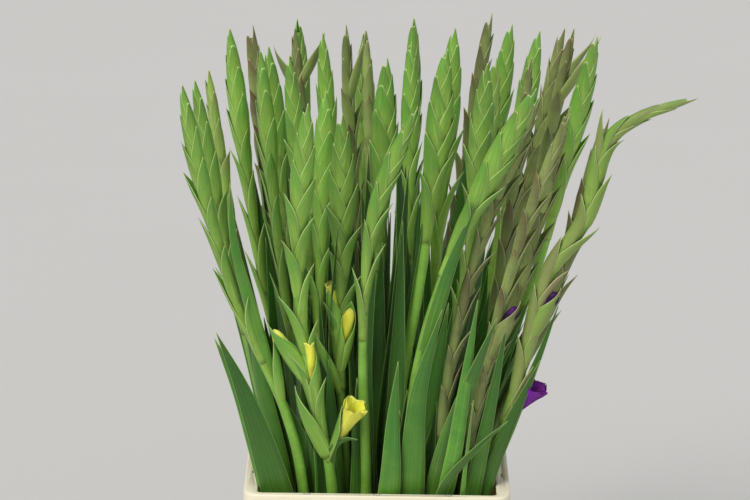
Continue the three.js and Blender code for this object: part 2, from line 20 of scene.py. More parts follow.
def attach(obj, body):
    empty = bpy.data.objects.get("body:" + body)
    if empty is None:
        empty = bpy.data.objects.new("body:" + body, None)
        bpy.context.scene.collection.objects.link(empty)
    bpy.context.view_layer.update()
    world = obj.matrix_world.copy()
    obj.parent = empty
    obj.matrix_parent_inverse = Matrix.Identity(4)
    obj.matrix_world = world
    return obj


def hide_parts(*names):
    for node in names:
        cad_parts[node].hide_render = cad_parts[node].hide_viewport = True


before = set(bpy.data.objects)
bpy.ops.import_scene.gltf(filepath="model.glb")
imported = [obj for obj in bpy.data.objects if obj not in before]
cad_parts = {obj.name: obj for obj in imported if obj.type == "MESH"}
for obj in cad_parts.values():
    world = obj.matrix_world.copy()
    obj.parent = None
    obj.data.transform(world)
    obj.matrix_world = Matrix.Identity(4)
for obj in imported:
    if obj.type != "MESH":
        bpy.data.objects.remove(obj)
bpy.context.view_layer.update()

LOG = logging.getLogger("gladiolus")
MM = 0.001
SEED = 20407
RIM_HEIGHT = 340
# The "edge" value of places that lie too far from an edge to show it
FAR_IN = 9.0

Array = np.ndarray
Point = tuple[float, float, float]
Pair = tuple[float, float]
Numbers = tuple[float, ...]
Piece = bpy.types.Object
Material = bpy.types.Material
Node = bpy.types.Node
Socket = bpy.types.NodeSocket


# Curves and meshes


def between(ends: Sequence[float], share: float | Array) -> float | Array:
    """The number at a share of the way between two ends."""
    return ends[0] + (ends[1] - ends[0]) * share


def bezier(values: Sequence[float], share: Array) -> Array:
    """A smooth profile that starts at the first value and ends at the last.

    Args:
        values: Control values, evenly spread from share 0 to share 1.
        share: Where the profile is read, from 0 to 1.

    Returns:
        The profile's value at each share.
    """
    order = len(values) - 1
    total = np.zeros_like(share, dtype=float)
    for number, value in enumerate(values):
        total += math.comb(order, number) * share**number * (1 - share) ** (order - number) * value
    return total


def grid(rows: int, columns: int, power: float = 1.0) -> tuple[Array, Array, Array]:
    """The places on a sheet.

    Args:
        rows: How many there are along it.
        columns: How many there are across it.
        power: What the shares along it are raised to.

    Returns:
        The shares along it, the same as a column, and the shares across it from -1 to 1 as a row.
    """
    along = np.linspace(0, 1, rows) ** power
    return along, along[:, None], np.linspace(-1, 1, columns)[None, :]


def facing(angle: float) -> Array:
    """The horizontal direction that lies an angle (radians) to the right of the front."""
    return np.array([math.sin(angle), -math.cos(angle), 0.0])


def unit(vectors: Array) -> Array:
    """The vectors with length one."""
    return vectors / np.maximum(np.linalg.norm(vectors, axis=-1, keepdims=True), 1e-9)


def squared_to(direction: Array, tangents: Array) -> Array:
    """The direction turned square to each tangent, with length one."""
    along = np.sum(direction * tangents, axis=-1, keepdims=True)
    return unit(direction - along * tangents)


def around(angle: Array, ahead: Array, aside: Array) -> Array:
    """The directions at angles (radians) from one direction towards another."""
    return np.cos(angle)[..., None] * ahead + np.sin(angle)[..., None] * aside


class Path:
    """A smooth curve through points, read by the share of its length.

    Between two points it follows the centripetal Catmull-Rom rule, as the stalks of the solids do.
    """

    STEPS = 90

    def __init__(self, points: Sequence[Sequence[float]]) -> None:
        """Samples the curve.

        Args:
            points: The points that it passes, in mm.
        """
        knots = np.array(points, float)
        first = 2 * knots[0] - knots[1]
        last = 2 * knots[-1] - knots[-2]
        knots = np.vstack([first, knots, last])
        gaps = np.sqrt(np.linalg.norm(np.diff(knots, axis=0), axis=1))
        pieces = []
        for number in range(1, len(knots) - 2):
            before, here, after, beyond = knots[number - 1 : number + 3]
            gap_in, gap, gap_out = gaps[number - 1 : number + 2]
            slope = (after - here) / gap
            leave = (here - before) / gap_in - (after - before) / (gap_in + gap) + slope
            arrive = slope - (beyond - here) / (gap + gap_out) + (beyond - after) / gap_out
            share = np.linspace(0, 1, self.STEPS + 1)[:, None]
            if number > 1:
                share = share[1:]
            cube, square = share**3, share**2
            pieces.append(
                here * (2 * cube - 3 * square + 1)
                + after * (3 * square - 2 * cube)
                + leave * gap * (cube - 2 * square + share)
                + arrive * gap * (cube - square)
            )
        self.points = np.vstack(pieces)
        steps = np.linalg.norm(np.diff(self.points, axis=0), axis=1)
        reached = np.concatenate([[0.0], np.cumsum(steps)])
        self.length = float(reached[-1])
        self.shares = reached / self.length
        self.tangents = unit(np.gradient(self.points, reached, axis=0))

    def _read(self, rows: Array, share: Array) -> Array:
        """Rows of x, y and z, read at shares of the length."""
        return np.stack([np.interp(share, self.shares, axis) for axis in rows.T], axis=-1)

    def at(self, share: float | Array) -> Array:
        """The points of the curve.

        Args:
            share: Shares of the length. Past 1 the curve goes straight on.

        Returns:
            The point at each share.
        """
        share = np.asarray(share, float)
        inside = np.clip(share, 0, 1)
        over = (share - inside)[..., None] * self.length
        return self._read(self.points, inside) + over * self.tangent(share)

    def tangent(self, share: float | Array) -> Array:
        """The directions at shares of the length."""
        return unit(self._read(self.tangents, np.clip(np.asarray(share, float), 0, 1)))

    def share_at(self, height: float) -> float:
        """The share of the length at which the curve reaches a height."""
        return float(np.interp(height, self.points[:, 2], self.shares))


def show(name: str, data: bpy.types.ID) -> Piece:
    """Puts a new object into the scene.

    Args:
        name: Its name.
        data: Its mesh, light or camera.

    Returns:
        The object.
    """
    made = bpy.data.objects.new(name, data)
    bpy.context.scene.collection.objects.link(made)
    return made


class Shape:
    """Points, faces and named values of one mesh while it is put together, in mm."""

    VALUES = ("across", "along", "edge", "tone", "flush", "dry")

    def __init__(self) -> None:
        """Starts with nothing."""
        self.points: list[Array] = []
        self.faces: list[list[int]] = []
        self.values: dict[str, list[Array]] = {name: [] for name in self.VALUES}
        self.count = 0

    def add(self, points: Array, faces: list[list[int]], **values: float | Array) -> None:
        """Adds points and the faces between them.

        Args:
            points: The points, of shape (n, 3).
            faces: Corner numbers of each face, counted from the first of these points.
            **values: A value for every point, or one for all of them, under its name.
        """
        self.points.append(points)
        self.faces += [[corner + self.count for corner in face] for face in faces]
        for name, kept in self.values.items():
            kept.append(np.broadcast_to(values.get(name, 0.0), len(points)).astype(np.float32))
        self.count += len(points)

    def shell(self, outside: Array, inside: Array, **values: float | Array) -> None:
        """Adds a closed sheet with an outside, an inside and a rim between them.

        Args:
            outside: A grid of points, of shape (rows, columns, 3).
            inside: The same grid on the other face.
            **values: Values that both faces have, which fit a grid of (rows, columns).
        """
        rows, columns = outside.shape[:2]
        half = rows * columns
        number = np.arange(half).reshape(rows, columns)
        a, b = number[:-1, :-1].ravel(), number[:-1, 1:].ravel()
        c, d = number[1:, 1:].ravel(), number[1:, :-1].ravel()
        faces = np.stack([a, b, c, d], axis=1).tolist()
        faces += np.stack([a + half, d + half, c + half, b + half], axis=1).tolist()
        border = [*number[0, :-1], *number[:-1, -1], *number[-1, :0:-1], *number[:0:-1, 0]]
        for here, there in zip(border, border[1:] + border[:1]):
            faces.append([int(there), int(here), int(here) + half, int(there) + half])
        doubled = {
            name: np.tile(np.broadcast_to(grid, (rows, columns)).ravel(), 2)
            for name, grid in values.items()
        }
        self.add(np.vstack([outside.reshape(-1, 3), inside.reshape(-1, 3)]), faces, **doubled)

    def tube(self, rings: Array, **values: float | Array) -> None:
        """Adds a closed tube through rings of points.

        Args:
            rings: Points of shape (rings, sides, 3), each ring turning left as seen from its end.
            **values: Values that fit a grid of (rings, sides).
        """
        count, sides = rings.shape[:2]
        faces = []
        for ring in range(count - 1):
            for side in range(sides):
                following = (side + 1) % sides
                low, high = ring * sides, (ring + 1) * sides
                faces.append([low + side, low + following, high + following, high + side])
        faces.append(list(range(sides))[::-1])
        faces.append([(count - 1) * sides + side for side in range(sides)])
        flat = {
            name: np.broadcast_to(grid, (count, sides)).ravel() for name, grid in values.items()
        }
        self.add(rings.reshape(-1, 3), faces, **flat)

    def build(self, name: str, material: Material) -> Piece:
        """Makes the mesh object.

        Args:
            name: The piece's name.
            material: Its finish.

        Returns:
            The new object, in metres, linked to the scene.
        """
        mesh = bpy.data.meshes.new(name)
        mesh.from_pydata((np.vstack(self.points) * MM).tolist(), [], self.faces)
        for value, kept in self.values.items():
            attribute = mesh.attributes.new(value, "FLOAT", "POINT")
            attribute.data.foreach_set("value", np.concatenate(kept))
        mesh.polygons.foreach_set("use_smooth", [True] * len(mesh.polygons))
        mesh.materials.append(material)
        return show(name, mesh)


def place(piece: Piece, slot: str, *nodes: str) -> None:
    """Puts a piece on the model's one body.

    Args:
        piece: The new piece.
        slot: The record's material slot that it belongs to. It is not used.
        *nodes: The solids that it stands for.
    """
    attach(piece, "root")
    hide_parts(*nodes)
    LOG.info("%s: %d faces", piece.name, len(piece.data.polygons))


# Finishes

Colour = tuple[float, float, float]


def shade(red: int, green: int, blue: int) -> Colour:
    """A colour as shaders take it.

    Args:
        red: Its red on a screen, from 0 to 255.
        green: Its green.
        blue: Its blue.

    Returns:
        The same colour in linear values.
    """

    def linear(value: int) -> float:
        """One channel with the screen's curve taken off."""
        share = value / 255
        return share / 12.92 if share <= 0.04045 else ((share + 0.055) / 1.055) ** 2.4

    return linear(red), linear(green), linear(blue)


class Wires:
    """Places and joins the nodes of one node tree."""

    def __init__(self, tree: bpy.types.NodeTree) -> None:
        """Works on a tree.

        Args:
            tree: A material's tree or a node group.
        """
        self.tree = tree

    def node(self, kind: str, **settings: object) -> Node:
        """A new node.

        Args:
            kind: Its Blender type.
            **settings: Its properties.

        Returns:
            The node.
        """
        made = self.tree.nodes.new(kind)
        for name, value in settings.items():
            setattr(made, name, value)
        return made

    def feed(self, source: object, socket: Socket) -> None:
        """Joins a socket to an input, or sets the input to a number or colour.

        Args:
            source: The socket, number, colour or vector.
            socket: The input.
        """
        if isinstance(source, Socket):
            self.tree.links.new(source, socket)
        elif isinstance(source, tuple) and len(source) == 3 and socket.type == "RGBA":
            socket.default_value = (*source, 1.0)
        else:
            socket.default_value = source

    def fill(self, node: Node, **values: object) -> None:
        """Joins or sets a node's inputs.

        Args:
            node: The node.
            **values: What feeds each input, by name with _ for a space.
        """
        for name, value in values.items():
            self.feed(value, node.inputs[name.replace("_", " ")])

    def value(self, name: str) -> Socket:
        """A value that the mesh carries at each point."""
        made = self.node("ShaderNodeAttribute", attribute_type="GEOMETRY", attribute_name=name)
        return made.outputs["Fac"]

    def maths(self, work: str, *numbers: object) -> Socket:
        """The result of a sum.

        Args:
            work: The operation. One that ends in "!" keeps its result from 0 to 1.
            *numbers: Up to three numbers or sockets.

        Returns:
            The socket of the result.
        """
        made = self.node("ShaderNodeMath", operation=work.rstrip("!"), use_clamp=work.endswith("!"))
        for number, socket in zip(numbers, made.inputs):
            self.feed(number, socket)
        return made.outputs[0]

    def span(
        self, value: object, low: float, high: object, to_low: float = 0.0, to_high: float = 1.0
    ) -> Socket:
        """A value carried smoothly from one range to another.

        Args:
            value: The value.
            low: The start of its range.
            high: The end of its range, a number or socket.
            to_low: What the start becomes.
            to_high: What the end becomes.

        Returns:
            The socket of the result.
        """
        made = self.node("ShaderNodeMapRange", interpolation_type="SMOOTHSTEP")
        for source, socket in zip((value, low, high, to_low, to_high), made.inputs):
            self.feed(source, socket)
        return made.outputs["Result"]

    def mix(self, share: object, first: object, second: object) -> Socket:
        """Two colours mixed.

        Args:
            share: How much of the second there is.
            first: A colour or socket.
            second: A colour or socket.

        Returns:
            The socket of the mixed colour.
        """
        made = self.node("ShaderNodeMix", data_type="RGBA", blend_type="MIX")
        for source, number in ((share, 0), (first, 6), (second, 7)):
            self.feed(source, made.inputs[number])
        return made.outputs[2]

    def place(self) -> Socket:
        """The place of a point on the object, in metres."""
        return self.node("ShaderNodeTexCoord").outputs["Object"]

    def noise(self, where: object, scale: object, detail: float = 3.0) -> Socket:
        """Soft random values around a half.

        Args:
            where: The places that it is read at.
            scale: How fine it is, in waves a unit.
            detail: How many finer layers it has.

        Returns:
            The socket of the values.
        """
        made = self.node("ShaderNodeTexNoise")
        self.fill(made, Vector=where, Scale=scale, Detail=detail)
        return made.outputs["Fac"]


class Effect(Enum):
    """The node groups that several finishes use."""

    VEINS = "fine_veins"
    MOTTLE = "soft_mottle"
    SKIN = "plant_skin"


class Effects:
    """Builds each node group once and places it in a material or another group."""

    SOCKETS = {
        Effect.VEINS: (("Count", 12.0), ("Sharpness", 3.0)),
        Effect.MOTTLE: (("Scale", 60.0), ("Contrast", 0.5)),
        Effect.SKIN: (
            ("Low", (0.2, 0.4, 0.05)),
            ("High", (0.1, 0.3, 0.03)),
            ("Edge", (0.4, 0.6, 0.2)),
            ("Flush", (0.1, 0.05, 0.05)),
            ("Dry", (0.3, 0.15, 0.06)),
            ("Edge Width", 0.7),
            ("Vein Count", 12.0),
            ("Vein Depth", 0.25),
            ("Roughness", 0.5),
        ),
    }
    OUTPUTS = {
        Effect.VEINS: (("Veins", 0.0),),
        Effect.MOTTLE: (("Mottle", 0.0),),
        Effect.SKIN: (("Color", (1.0, 1.0, 1.0)), ("Roughness", 0.0), ("Height", 0.0)),
    }
    # Soft mottle: how much finer and weaker the fine patches are, and how much both are raised
    FINER = 6.0
    FINE_SHARE = 0.35
    RAISED = 4.0

    def __init__(self) -> None:
        """Starts with no group built."""
        self.built: dict[Effect, bpy.types.NodeTree] = {}
        self.makers: dict[Effect, Callable[[Wires, Node, Node], None]] = {
            Effect.VEINS: self._veins,
            Effect.MOTTLE: self._mottle,
            Effect.SKIN: self._skin,
        }

    def _group(self, effect: Effect) -> bpy.types.NodeTree:
        """The node group of an effect, built when it is first asked for.

        Args:
            effect: Which effect.

        Returns:
            Its group.
        """
        if effect not in self.built:
            tree = bpy.data.node_groups.new(effect.value, "ShaderNodeTree")
            for side, sockets in (
                ("INPUT", self.SOCKETS[effect]),
                ("OUTPUT", self.OUTPUTS[effect]),
            ):
                for name, start in sockets:
                    kind = "NodeSocketColor" if isinstance(start, tuple) else "NodeSocketFloat"
                    tree.interface.new_socket(name, in_out=side, socket_type=kind)
            wires = Wires(tree)
            self.makers[effect](wires, wires.node("NodeGroupInput"), wires.node("NodeGroupOutput"))
            self.built[effect] = tree
        return self.built[effect]

    def place(self, wires: Wires, effect: Effect, **values: object) -> Node:
        """Puts an effect into a node tree.

        Args:
            wires: Where it goes.
            effect: Which effect.
            **values: Its inputs, by name with _ for a space. Others keep the effect's own value.

        Returns:
            The group node.
        """
        made = wires.node("ShaderNodeGroup", node_tree=self._group(effect))
        starts = {name.replace(" ", "_"): start for name, start in self.SOCKETS[effect]}
        wires.fill(made, **{**starts, **values})
        return made

    def _veins(self, wires: Wires, given: Node, result: Node) -> None:
        """Fine uneven lines along a blade, bract or petal, about as many as Count across it.

        Args:
            wires: The group's wires.
            given: The node with its inputs.
            result: The node with its outputs.
        """
        stretched = wires.node("ShaderNodeCombineXYZ")
        # A change of tone moves the pattern on, so that no two blades have the same lines
        for axis, name, times in (
            ("X", "across", given.outputs["Count"]),
            ("Y", "along", 1.2),
            ("Z", "tone", 60.0),
        ):
            wires.feed(wires.maths("MULTIPLY", wires.value(name), times), stretched.inputs[axis])
        lift = wires.span(wires.noise(stretched.outputs[0], 1.5, 4.0), 0.28, 0.72)
        wires.feed(wires.maths("POWER", lift, given.outputs["Sharpness"]), result.inputs["Veins"])

    def _mottle(self, wires: Wires, given: Node, result: Node) -> None:
        """Soft patches of two sizes, around zero.

        Args:
            wires: The group's wires.
            given: The node with its inputs.
            result: The node with its outputs.
        """
        where = wires.place()
        broad = wires.noise(where, given.outputs["Scale"])
        fine = wires.noise(where, wires.maths("MULTIPLY", given.outputs["Scale"], self.FINER))
        both = wires.maths("MULTIPLY_ADD", fine, self.FINE_SHARE, broad)
        centred = wires.maths("SUBTRACT", both, (1 + self.FINE_SHARE) / 2)
        strong = wires.maths("MULTIPLY", centred, given.outputs["Contrast"])
        wires.feed(wires.maths("MULTIPLY", strong, self.RAISED), result.inputs["Mottle"])

    def _skin(self, wires: Wires, given: Node, result: Node) -> None:
        """Green plant skin: two greens along the blade, a pale edge, flushed and dried places.

        Args:
            wires: The group's wires.
            given: The node with its inputs.
            result: The node with its outputs.
        """
        veins = self.place(wires, Effect.VEINS, Count=given.outputs["Vein Count"]).outputs[0]
        mottle = self.place(wires, Effect.MOTTLE, Scale=38.0, Contrast=0.32).outputs[0]
        along = wires.maths("ADD", wires.value("along"), mottle)
        grown = wires.span(along, 0.1, 0.95)
        colour = wires.mix(grown, given.outputs["Low"], given.outputs["High"])
        # Lightness: each blade's own tone, soft patches and fine streaks. The tone also carries a
        # painted light on a few stalks and open bracts and a painted shade on the leaves that fill
        # in
        lift = wires.maths("MULTIPLY_ADD", wires.value("tone"), 0.5, 0.75)
        lift = wires.maths("ADD", lift, wires.maths("MULTIPLY", mottle, 0.55))
        streak = wires.maths("SUBTRACT", veins, 0.35)
        streak = wires.maths("MULTIPLY", streak, given.outputs["Vein Depth"])
        lift = wires.maths("ADD", lift, streak)
        scaled = wires.node("ShaderNodeVectorMath", operation="SCALE")
        wires.feed(colour, scaled.inputs[0])
        wires.feed(lift, scaled.inputs["Scale"])
        # Brown or purple flush, dry flecks and a pale edge
        flush = wires.maths("ADD!", wires.value("flush"), wires.maths("MULTIPLY", mottle, 0.7))
        flush = wires.maths("MULTIPLY", flush, wires.span(wires.value("flush"), 0.0, 0.08))
        colour = wires.mix(flush, scaled.outputs[0], given.outputs["Flush"])
        fleck = wires.noise(wires.place(), 260.0)
        dry = wires.maths("MULTIPLY!", wires.value("dry"), wires.span(fleck, 0.25, 0.6))
        colour = wires.mix(dry, colour, given.outputs["Dry"])
        rim = wires.span(wires.value("edge"), 0.0, given.outputs["Edge Width"], 1.0, 0.0)
        colour = wires.mix(wires.maths("MULTIPLY", rim, 0.85), colour, given.outputs["Edge"])
        wires.feed(colour, result.inputs["Color"])
        rough = wires.maths("MULTIPLY_ADD", mottle, 0.35, given.outputs["Roughness"])
        rough = wires.maths("ADD!", rough, wires.maths("MULTIPLY", dry, 0.25))
        wires.feed(rough, result.inputs["Roughness"])
        height = wires.maths("MULTIPLY_ADD", veins, 0.6, wires.maths("MULTIPLY", mottle, 0.8))
        wires.feed(height, result.inputs["Height"])


EFFECTS = Effects()


def shader(name: str) -> tuple[Material, Wires, Node]:
    """A new material.

    Args:
        name: Its name.

    Returns:
        The material, its wires and its Principled shader.
    """
    material = bpy.data.materials.new(name)
    material.use_nodes = True
    return material, Wires(material.node_tree), material.node_tree.nodes["Principled BSDF"]


def bump(wires: Wires, height: Socket, depth: float, strength: float) -> Socket:
    """The normals of a surface with relief.

    Args:
        wires: The material's wires.
        height: The relief, from 0 to 1.
        depth: How deep the relief is, in mm.
        strength: How much of it shows.

    Returns:
        The socket to feed a shader's Normal.
    """
    made = wires.node("ShaderNodeBump")
    wires.fill(made, Strength=strength, Distance=depth * MM, Height=height)
    return made.outputs["Normal"]


@dataclass(frozen=True)
class PlantFinish:
    """The skin of a bract, leaf or stalk."""

    name: str
    low: Colour
    high: Colour
    edge: Colour
    flush: Colour = shade(92, 78, 60)
    dry: Colour = shade(140, 92, 60)
    edge_width: float = 0.7
    veins: float = 9.0
    vein_depth: float = 0.22
    roughness: float = 0.46
    relief: float = 0.25
    glow: float = 0.12

    def build(self) -> Material:
        """Makes the finish.

        Returns:
            The material.
        """
        material, wires, surface = shader(self.name)
        skin = EFFECTS.place(
            wires, Effect.SKIN, Low=self.low, High=self.high, Edge=self.edge, Flush=self.flush,
            Dry=self.dry, Edge_Width=self.edge_width, Vein_Count=self.veins,
            Vein_Depth=self.vein_depth, Roughness=self.roughness,
        )
        wires.fill(
            surface, Base_Color=skin.outputs["Color"], Roughness=skin.outputs["Roughness"],
            Normal=bump(wires, skin.outputs["Height"], self.relief, 0.6),
            Subsurface_Weight=self.glow, Subsurface_Radius=(0.4, 1.0, 0.15), Subsurface_Scale=0.003,
            Specular_IOR_Level=0.42, Sheen_Weight=0.06, Sheen_Roughness=0.5,
        )
        return material


@dataclass(frozen=True)
class PetalFinish:
    """A thin satin petal, deeper in its throat and paler towards its edge."""

    name: str
    throat: Colour
    face: Colour
    edge: Colour
    sheen: float = 0.15
    gloss: float = 0.5

    def build(self) -> Material:
        """Makes the finish.

        Returns:
            The material.
        """
        material, wires, surface = shader(self.name)
        veins = EFFECTS.place(wires, Effect.VEINS, Count=7.0, Sharpness=4.0).outputs[0]
        mottle = EFFECTS.place(wires, Effect.MOTTLE, Scale=120.0, Contrast=0.3).outputs[0]
        depth = wires.maths("ADD", wires.value("along"), mottle)
        colour = wires.mix(wires.span(depth, 0.0, 0.75), self.throat, self.face)
        rim = wires.span(wires.value("edge"), 0.0, 2.2, 0.6, 0.0)
        colour = wires.mix(rim, colour, self.edge)
        colour = wires.mix(wires.maths("MULTIPLY", veins, 0.22), colour, self.throat)
        wires.fill(
            surface, Base_Color=colour, Roughness=wires.maths("MULTIPLY_ADD", mottle, 0.3, 0.5),
            Normal=bump(wires, veins, 0.3, 0.7), Subsurface_Weight=0.2,
            Subsurface_Radius=(1.0, 0.8, 0.4), Subsurface_Scale=0.003, Sheen_Weight=self.sheen,
            Specular_IOR_Level=self.gloss,
        )
        return material


@dataclass(frozen=True)
class PlasticFinish:
    """Moulded satin plastic with faint flow marks and light scuffs."""

    name: str
    colour: Colour
    worn: Colour
    roughness: float = 0.42
    glow: float = 0.35
    scuff_stretch: Point = (1.0, 1.0, 14.0)

    def build(self) -> Material:
        """Makes the finish.

        Returns:
            The material.
        """
        material, wires, surface = shader(self.name)
        mottle = EFFECTS.place(wires, Effect.MOTTLE, Scale=9.0, Contrast=0.3).outputs[0]
        grain = wires.noise(wires.place(), 1500.0)
        stretched = wires.node("ShaderNodeMapping")
        wires.fill(stretched, Vector=wires.place(), Scale=self.scuff_stretch)
        scuffs = wires.span(wires.noise(stretched.outputs[0], 24.0, 8.0), 0.62, 0.74)
        ground = wires.span(wires.maths("ADD", mottle, 0.5), 0.2, 0.9)
        colour = wires.mix(wires.maths("MULTIPLY", ground, 0.35), self.colour, self.worn)
        colour = wires.mix(wires.maths("MULTIPLY", scuffs, 0.3), colour, self.worn)
        rough = wires.maths("MULTIPLY_ADD", scuffs, 0.22, self.roughness)
        wires.fill(
            surface, Base_Color=colour,
            Roughness=wires.maths("ADD", rough, wires.maths("MULTIPLY", mottle, 0.1)),
            Normal=bump(wires, grain, 0.04, 0.5), Subsurface_Weight=self.glow,
            Subsurface_Radius=(1.0, 0.85, 0.6), Subsurface_Scale=0.006,
        )
        return material


@dataclass(frozen=True)
class WaterFinish:
    """Still water, slightly clouded, with a faint ripple."""

    name: str
    colour: Colour
    clouded: Colour = shade(196, 214, 202)

    def build(self) -> Material:
        """Makes the finish.

        Returns:
            The material.
        """
        material, wires, surface = shader(self.name)
        cloud = EFFECTS.place(wires, Effect.MOTTLE, Scale=14.0, Contrast=0.25).outputs[0]
        tint = wires.mix(wires.maths("ADD!", cloud, 0.4), self.colour, self.clouded)
        ripple = bump(wires, wires.noise(wires.place(), 55.0), 1.2, 0.35)
        wires.fill(surface, Base_Color=tint, Normal=ripple)
        wires.fill(surface, Roughness=0.05, IOR=1.33, Transmission_Weight=0.9)
        return material


@dataclass(frozen=True)
class GroundFinish:
    """The plain pale floor."""

    name: str
    colour: Colour
    paler: Colour = shade(222, 222, 222)

    def build(self) -> Material:
        """Makes the finish.

        Returns:
            The material.
        """
        material, wires, surface = shader(self.name)
        mottle = EFFECTS.place(wires, Effect.MOTTLE, Scale=0.7, Contrast=0.05).outputs[0]
        colour = wires.mix(wires.maths("ADD!", mottle, 0.5), self.colour, self.paler)
        wires.fill(surface, Base_Color=colour, Roughness=0.85)
        return material


class Palette:
    """Every finish of the bunch, built once."""

    def __init__(self) -> None:
        """Builds the finishes."""
        self.bract_green = PlantFinish(
            "bract_green", low=shade(150, 194, 78), high=shade(108, 164, 60),
            edge=shade(212, 234, 152), edge_width=0.95, veins=6.0, vein_depth=0.34,
        ).build()
        self.bract_dusky = PlantFinish(
            "bract_dusky", low=shade(156, 176, 96), high=shade(126, 144, 82),
            edge=shade(206, 208, 154), flush=shade(96, 68, 56), edge_width=0.85, veins=5.0,
            roughness=0.55,
        ).build()
        self.bract_olive = PlantFinish(
            "bract_olive", low=shade(150, 188, 80), high=shade(118, 164, 62),
            edge=shade(206, 214, 156), flush=shade(146, 138, 96), edge_width=0.85, veins=5.0,
            roughness=0.5,
        ).build()
        self.leaf_green = PlantFinish(
            "leaf_green", low=shade(98, 150, 50), high=shade(64, 118, 40),
            edge=shade(160, 196, 104), edge_width=0.75, veins=7.0, vein_depth=0.5, roughness=0.4,
            relief=0.3, glow=0.06,
        ).build()
        self.stalk_green = PlantFinish(
            "stalk_green", low=shade(122, 172, 60), high=shade(132, 182, 72),
            edge=shade(150, 195, 90), edge_width=0.01, veins=5.0, vein_depth=0.16, roughness=0.38,
        ).build()
        self.stalk_dusky = PlantFinish(
            "stalk_dusky", low=shade(104, 132, 60), high=shade(112, 122, 68),
            edge=shade(150, 160, 100), edge_width=0.01, veins=5.0, vein_depth=0.16, roughness=0.45,
        ).build()
        self.petal_yellow = PetalFinish(
            "petal_yellow", shade(204, 210, 62), shade(248, 246, 74), shade(252, 250, 132)
        ).build()
        self.petal_purple = PetalFinish(
            "petal_purple", shade(34, 10, 48), shade(130, 34, 164), shade(74, 16, 98), sheen=0.05,
            gloss=0.25,
        ).build()
        self.bucket_cream = PlasticFinish(
            "bucket_cream", shade(247, 238, 212), shade(226, 212, 180)
        ).build()
        # The pits of the rim's marks are painted dark, a painted shade in the recesses
        self.mark_painted_shade = PlasticFinish(
            "mark_painted_shade", shade(96, 84, 66), shade(66, 56, 44), roughness=0.7, glow=0.0
        ).build()
        self.water = WaterFinish("still_water", shade(214, 230, 228)).build()
        self.floor = GroundFinish("pale_floor", shade(203, 201, 197)).build()


# Stems


class Habit(Enum):
    """How a spike grows."""

    TIGHT = "tight"
    LOOSE = "loose"
    DUSKY = "dusky"
    BENT = "bent"


TIGHT, LOOSE, DUSKY, BENT = Habit


@dataclass(frozen=True)
class SpikeLaw:
    """How the bracts of one habit are spaced and shaped, from the tip of the spike down.

    Attributes:
        pitch: How far the second bract's point is below the first one's.
        growth: How much each further step is longer than the one above it.
        apart: The longest step.
        long: The length of the topmost bract, and the length that they reach lower down.
        flare: How far a bract's point stands off the spike, at the tip and lower down.
        breadth: Half the spike's breadth at each drop below its tip.
        wrap: How far a bract reaches round to each side of its keel, in degrees.
        stiff: The distance below the tip at which the bracts stand off in full.
        drop: The distances below the tip that breadth belongs to.
        settled: How slowly the bracts come to their full length.
        closed: How far down the bracts close the spike's top.
        fold: The reach in front along a bract, as shares of wrap.
        fold_behind: The same behind its keel.
        fold_on_top: The same for the topmost bracts, on both sides.
    """

    length: float
    pitch: float
    growth: float
    apart: float
    long: Pair
    flare: Pair
    breadth: Numbers
    wrap: float
    stiff: float
    drop: ClassVar[Numbers] = (0, 8, 18, 32, 55, 85, 112, 145, 200, 380)
    settled: ClassVar[float] = 62.0
    closed: ClassVar[float] = 16.0
    fold: ClassVar[Numbers] = (1.0, 0.9, 0.58, 0.32, 0.0)
    fold_behind: ClassVar[Numbers] = (1.38, 1.38, 1.38, 1.0, 0.0)
    fold_on_top: ClassVar[Numbers] = (1.0, 1.0, 0.95, 0.85, 0.6)

    def half_breadth(self, down: float | Array) -> float | Array:
        """Half the spike's breadth at distances below its tip."""
        return np.interp(down, self.drop, self.breadth)

    def stand(self, down: float) -> float:
        """How far the point of a bract stands off the spike, by its distance below the tip."""
        return between(self.flare, min(down / self.stiff, 1.0) ** 2.2)

    def reach(self, fold: Numbers, share: Array, drop: float) -> Array:
        """How far one side of a bract reaches round the spike.

        Args:
            fold: Its profile low on the spike.
            share: Shares of the bract's length.
            drop: How far its point is below the spike's tip.

        Returns:
            The reach at each share, as a share of wrap.
        """
        capped = math.exp(-drop / self.closed)
        return between((bezier(fold, share), bezier(self.fold_on_top, share)), capped)

    def bracts(self, length: float) -> list[Pair]:
        """Spaces the bracts.

        Args:
            length: The length of the spike.

        Returns:
            How far each bract's point is below the spike's tip, and its length, the topmost first.
        """
        found: list[Pair] = []
        down, pitch = 0.0, self.pitch
        long = self.long[0]
        while down + long < length:
            found.append((down, long))
            down += pitch
            pitch = min(pitch * self.growth, self.apart)
            long = between(self.long, 1 - math.exp(-down / self.settled))
        return found


LAWS = {
    TIGHT: SpikeLaw(
        length=285, pitch=8.0, growth=1.13, apart=29.0, long=(42, 84), flare=(0.3, 9.0),
        breadth=(0.9, 3.1, 5.8, 8.4, 11.2, 12.8, 11.8, 9.2, 8.0, 7.4), wrap=112, stiff=135,
    ),
    LOOSE: SpikeLaw(
        length=380, pitch=8.5, growth=1.14, apart=31.0, long=(42, 80), flare=(0.4, 10.5),
        breadth=(0.9, 2.9, 5.2, 7.6, 10.0, 11.6, 11.0, 8.8, 7.8, 7.2), wrap=108, stiff=125,
    ),
    DUSKY: SpikeLaw(
        length=330, pitch=10.0, growth=1.12, apart=21.0, long=(42, 64), flare=(1.2, 9.5),
        breadth=(0.9, 2.5, 4.2, 5.6, 6.8, 7.9, 8.2, 7.9, 7.4, 6.8), wrap=106, stiff=84,
    ),
    BENT: SpikeLaw(
        length=420, pitch=10.0, growth=1.13, apart=27.0, long=(42, 76), flare=(0.3, 6.0),
        breadth=(0.8, 2.0, 3.4, 4.8, 6.0, 7.6, 9.4, 10.2, 10.0, 8.6), wrap=108, stiff=120,
    ),
}


